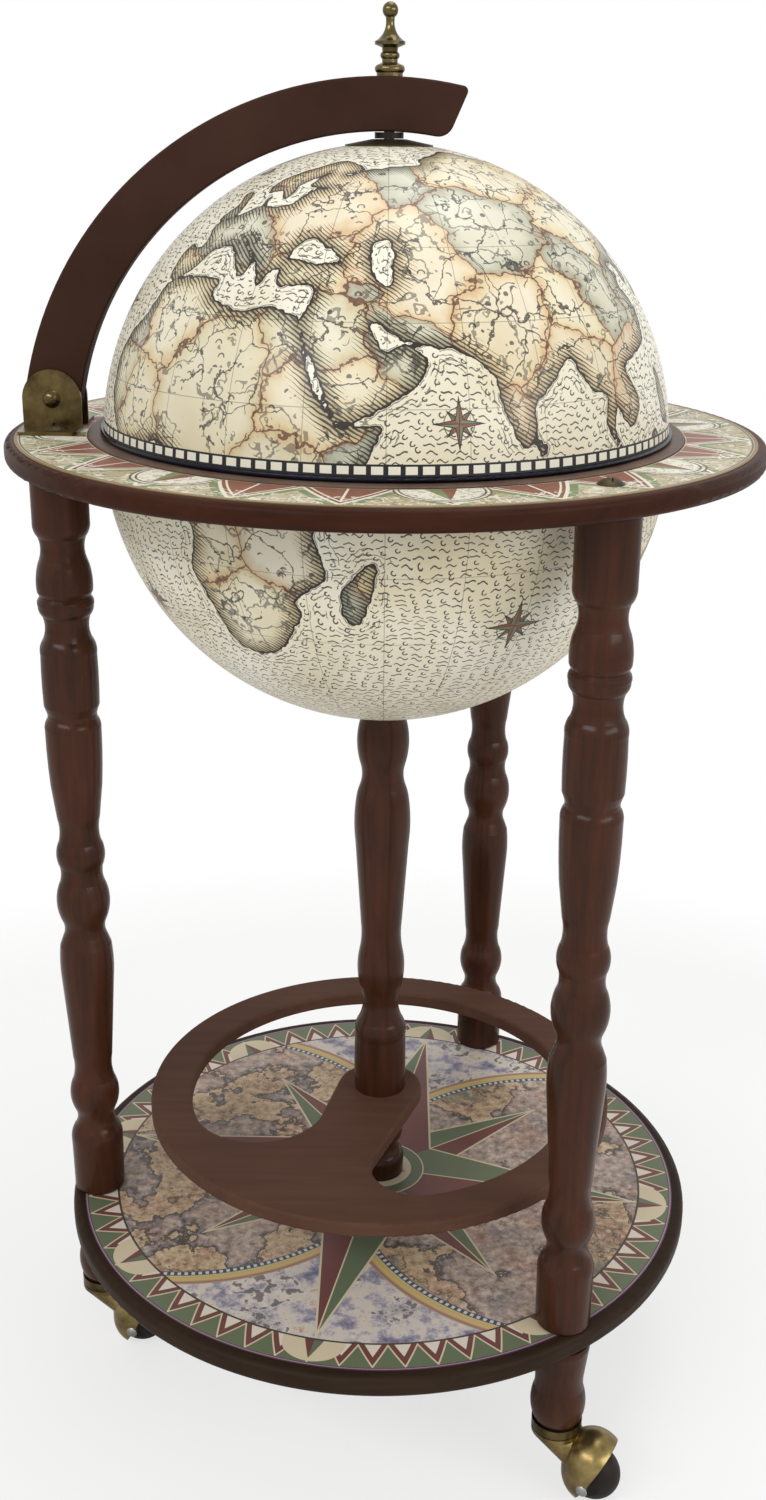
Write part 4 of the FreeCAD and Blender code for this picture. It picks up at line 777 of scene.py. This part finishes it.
def write_coasts(mesh, radius, center):
    """Store the map on the shell's vertices: how many millimetres inland each one lies."""
    coasts = [smooth_coast(corners) for corners in COASTS.values()]
    tree = coast_tree(coasts)
    inland_layer = mesh.verts.layers.float.new("coast_mm")
    directions = [(vert.co - center).normalized() for vert in mesh.verts]
    spread = np.array(directions)
    longitude = np.degrees(np.arctan2(spread[:, 1], spread[:, 0])) + FRONT_LONGITUDE + 90
    longitude = (longitude - WEST_LONGITUDE) % 360 + WEST_LONGITUDE
    land = on_land(coasts, longitude, np.degrees(np.arcsin(spread[:, 2])))
    mm_per_degree = math.radians(radius / MM)
    for vert, direction, is_land in zip(mesh.verts, directions, land):
        gap = tree.find(direction)[2]
        inland = math.degrees(2 * math.asin(gap / 2)) * mm_per_degree
        vert[inland_layer] = inland if is_land else -inland


def make_globe():
    """Spin the two printed halves, which stand in for the plain shells of the model."""
    lining = plain("globe_lining", paint(96, 62, 44), paint(120, 80, 56), 0.55)
    inner = DOME_RADIUS - SHELL_WALL
    dome = globe_shell(
        "printed_dome", DOME_RADIUS,
        (math.asin(DOME_RIM / DOME_RADIUS), math.acos(DOME_POLE_HOLE / DOME_RADIUS)),
        (math.asin(DOME_RIM / inner), math.acos(DOME_POLE_HOLE / inner)),
    )
    inner = BOWL_RADIUS - SHELL_WALL
    bowl = globe_shell(
        "printed_bowl", BOWL_RADIUS,
        (-math.acos(BOWL_BOLT_HOLE / BOWL_RADIUS), math.asin(BOWL_RIM / BOWL_RADIUS)),
        (-math.acos(BOWL_BOLT_HOLE / inner), math.asin(BOWL_RIM / inner)),
    )
    for piece, body, node, printed in (
        (dome, "dome", "upper_dome", globe_print("dome_map", DOME_RADIUS, DOME_RIM)),
        (bowl, "stand", "lower_bowl", globe_print("bowl_map", BOWL_RADIUS, None)),
    ):
        piece.data.materials.append(printed)
        piece.data.materials.append(lining)
        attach(piece, body)
        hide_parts(node)


def dress_nodes():
    """Give every node of the model that stays in sight its finish."""
    upright, sideways, in_plane = (1.0, 1.0, 0.07), (0.08, 1.0, 1.0), (0.12, 1.0, 0.12)
    turned = wood("turned_mahogany", paint(42, 28, 18), paint(78, 43, 29), upright, 0.18, 0.14)
    board = wood("mahogany_board", paint(80, 55, 44), paint(95, 68, 56), sideways, 0.5)
    edged = wood("dark_board", paint(40, 30, 22), paint(55, 42, 32), sideways, 0.36)
    red_edged = wood("red_board", paint(46, 26, 17), paint(66, 37, 26), sideways, 0.36)
    arm = wood("arm_mahogany", paint(54, 35, 27), paint(66, 45, 36), in_plane, 0.5)
    tray = wood("tray_board", paint(92, 58, 40), paint(126, 84, 58), sideways, 0.45)
    brass = metal("antique_brass", paint(56, 45, 25), paint(112, 96, 60), 0.24)
    worn = metal("worn_brass", paint(86, 71, 40), paint(152, 133, 86), 0.24)
    rubbed = metal("rubbed_brass", paint(66, 56, 32), paint(108, 96, 62), 0.16)
    bronze = metal("dark_bronze", paint(56, 47, 34), paint(78, 66, 46), 0.4)
    steel = metal("plated_steel", paint(130, 130, 127), paint(160, 160, 156), 0.34)
    by_slot = {
        "mahogany": turned, "arm_wood": arm, "antique_brass": brass, "steel": steel, "tray_wood": tray,
        "ring_paper": ring_print(), "base_paper": base_print(),
        "navy_lip": plain("navy_lip", paint(10, 10, 20), paint(18, 18, 32), 0.22),
        "collar_brown": plain("collar_brown", paint(84, 66, 56), paint(106, 86, 74), 0.42),
        "wheel_black": plain("wheel_black", paint(26, 22, 20), paint(42, 36, 32), 0.45),
        "dark_bush": plain("dark_bush", paint(34, 24, 20), paint(52, 37, 30), 0.4),
    }
    by_node = {
        "horizon_ring": red_edged, "gallery_shelf": board, "base_disc": edged, "finial": rubbed,
        "hinge_pin": rubbed, "leg_screws": bronze, "bracket_screw": bronze, "pole_cap": bronze,
        "caster_hood_left": worn, "caster_hood_right": worn, "caster_hood_rear": worn,
    }
    for part in frame["record"]["subparts"]:
        finish = by_node.get(part["node"]) or by_slot.get(part["material_slot"])
        if finish is not None:
            data = nodes[part["node"]].data
            data.materials.clear()
            data.materials.append(finish)


def make_floor():
    """A pale floor that keeps the shadow and runs out into white."""
    white_start, white_end, least_white = 250.0, 800.0, 0.68
    mesh = bmesh.new()
    bmesh.ops.create_circle(mesh, cap_ends=True, segments=96, radius=FLOOR_RADIUS)
    bmesh.ops.translate(mesh, verts=mesh.verts, vec=(0, 0, cad_low.z - FLOOR_GAP))
    data = bpy.data.meshes.new("floor")
    mesh.to_mesh(data)
    mesh.free()
    floor = bpy.data.objects.new("floor", data)
    bpy.context.scene.collection.objects.link(floor)
    finish = Finish("floor")
    data.materials.append(finish.done(Base_Color=paint(246, 245, 243), Roughness=0.9, Specular_IOR_Level=0.1))
    x, y = finish.place_mm("XY")
    away = finish.math("SQRT", x * x + y * y)
    white = finish.node("ShaderNodeEmission", {}, {"Color": (1, 1, 1, 1), "Strength": 1.0})
    matt = Wire(finish, finish.surface.outputs[0])
    share = finish.most(finish.fade(away, white_start, white_end), least_white) * finish.seen_by("Camera")
    blend = finish.node("ShaderNodeMixShader", {}, {0: share, 1: matt, 2: white})
    finish.feed(finish.tree.nodes["Material Output"].inputs["Surface"], blend)


def make_light():
    """Broad lamps, each with its place, width, height and power in watts, and a white surround."""
    lamps = {
        "key": ((-1.5, -2.0, 2.3), 2.4, 0.6, 38.0),
        "fill": ((1.9, -1.5, 1.4), 2.0, 0.6, 23.0),
        "top": ((0.3, 0.4, 2.6), 1.2, 1.2, 16.0),
    }
    aim = Vector((0, 0, GLOBE_HEIGHT * 0.8))
    for name, (place, width, height, power) in lamps.items():
        lamp = bpy.data.lights.new(name, "AREA")
        lamp.shape = "RECTANGLE"
        lamp.size = width
        lamp.size_y = height
        lamp.energy = power
        holder = bpy.data.objects.new(name, lamp)
        holder.location = place
        holder.rotation_euler = (aim - Vector(place)).to_track_quat("-Z", "Y").to_euler()
        bpy.context.scene.collection.objects.link(holder)

    world = bpy.data.worlds.new("surround")
    world.use_nodes = True
    bpy.context.scene.world = world
    sky = Tree(world.node_tree)
    back = world.node_tree.nodes["Background"]
    sky.feed(back.inputs["Color"], (1, 1, 1, 1))
    seen = sky.seen_by("Camera", "Glossy", "Transmission")
    sky.feed(back.inputs["Strength"], SURROUND_LIGHT + (1.0 - SURROUND_LIGHT) * seen)


def make_camera():
    lens = bpy.data.cameras.new("camera")
    lens.sensor_width = 36.0
    lens.lens = CAMERA_LENS
    camera = bpy.data.objects.new("camera", lens)
    tilt = Matrix.Rotation(math.radians(90) + CAMERA_PITCH, 4, "X")
    camera.matrix_world = Matrix.Translation(CAMERA_PLACE) @ tilt @ Matrix.Rotation(CAMERA_ROLL, 4, "Z")
    bpy.context.scene.collection.objects.link(camera)
    bpy.context.scene.camera = camera


make_globe()
dress_nodes()
make_floor()
make_light()
make_camera()
bpy.context.scene.view_settings.view_transform = "Standard"
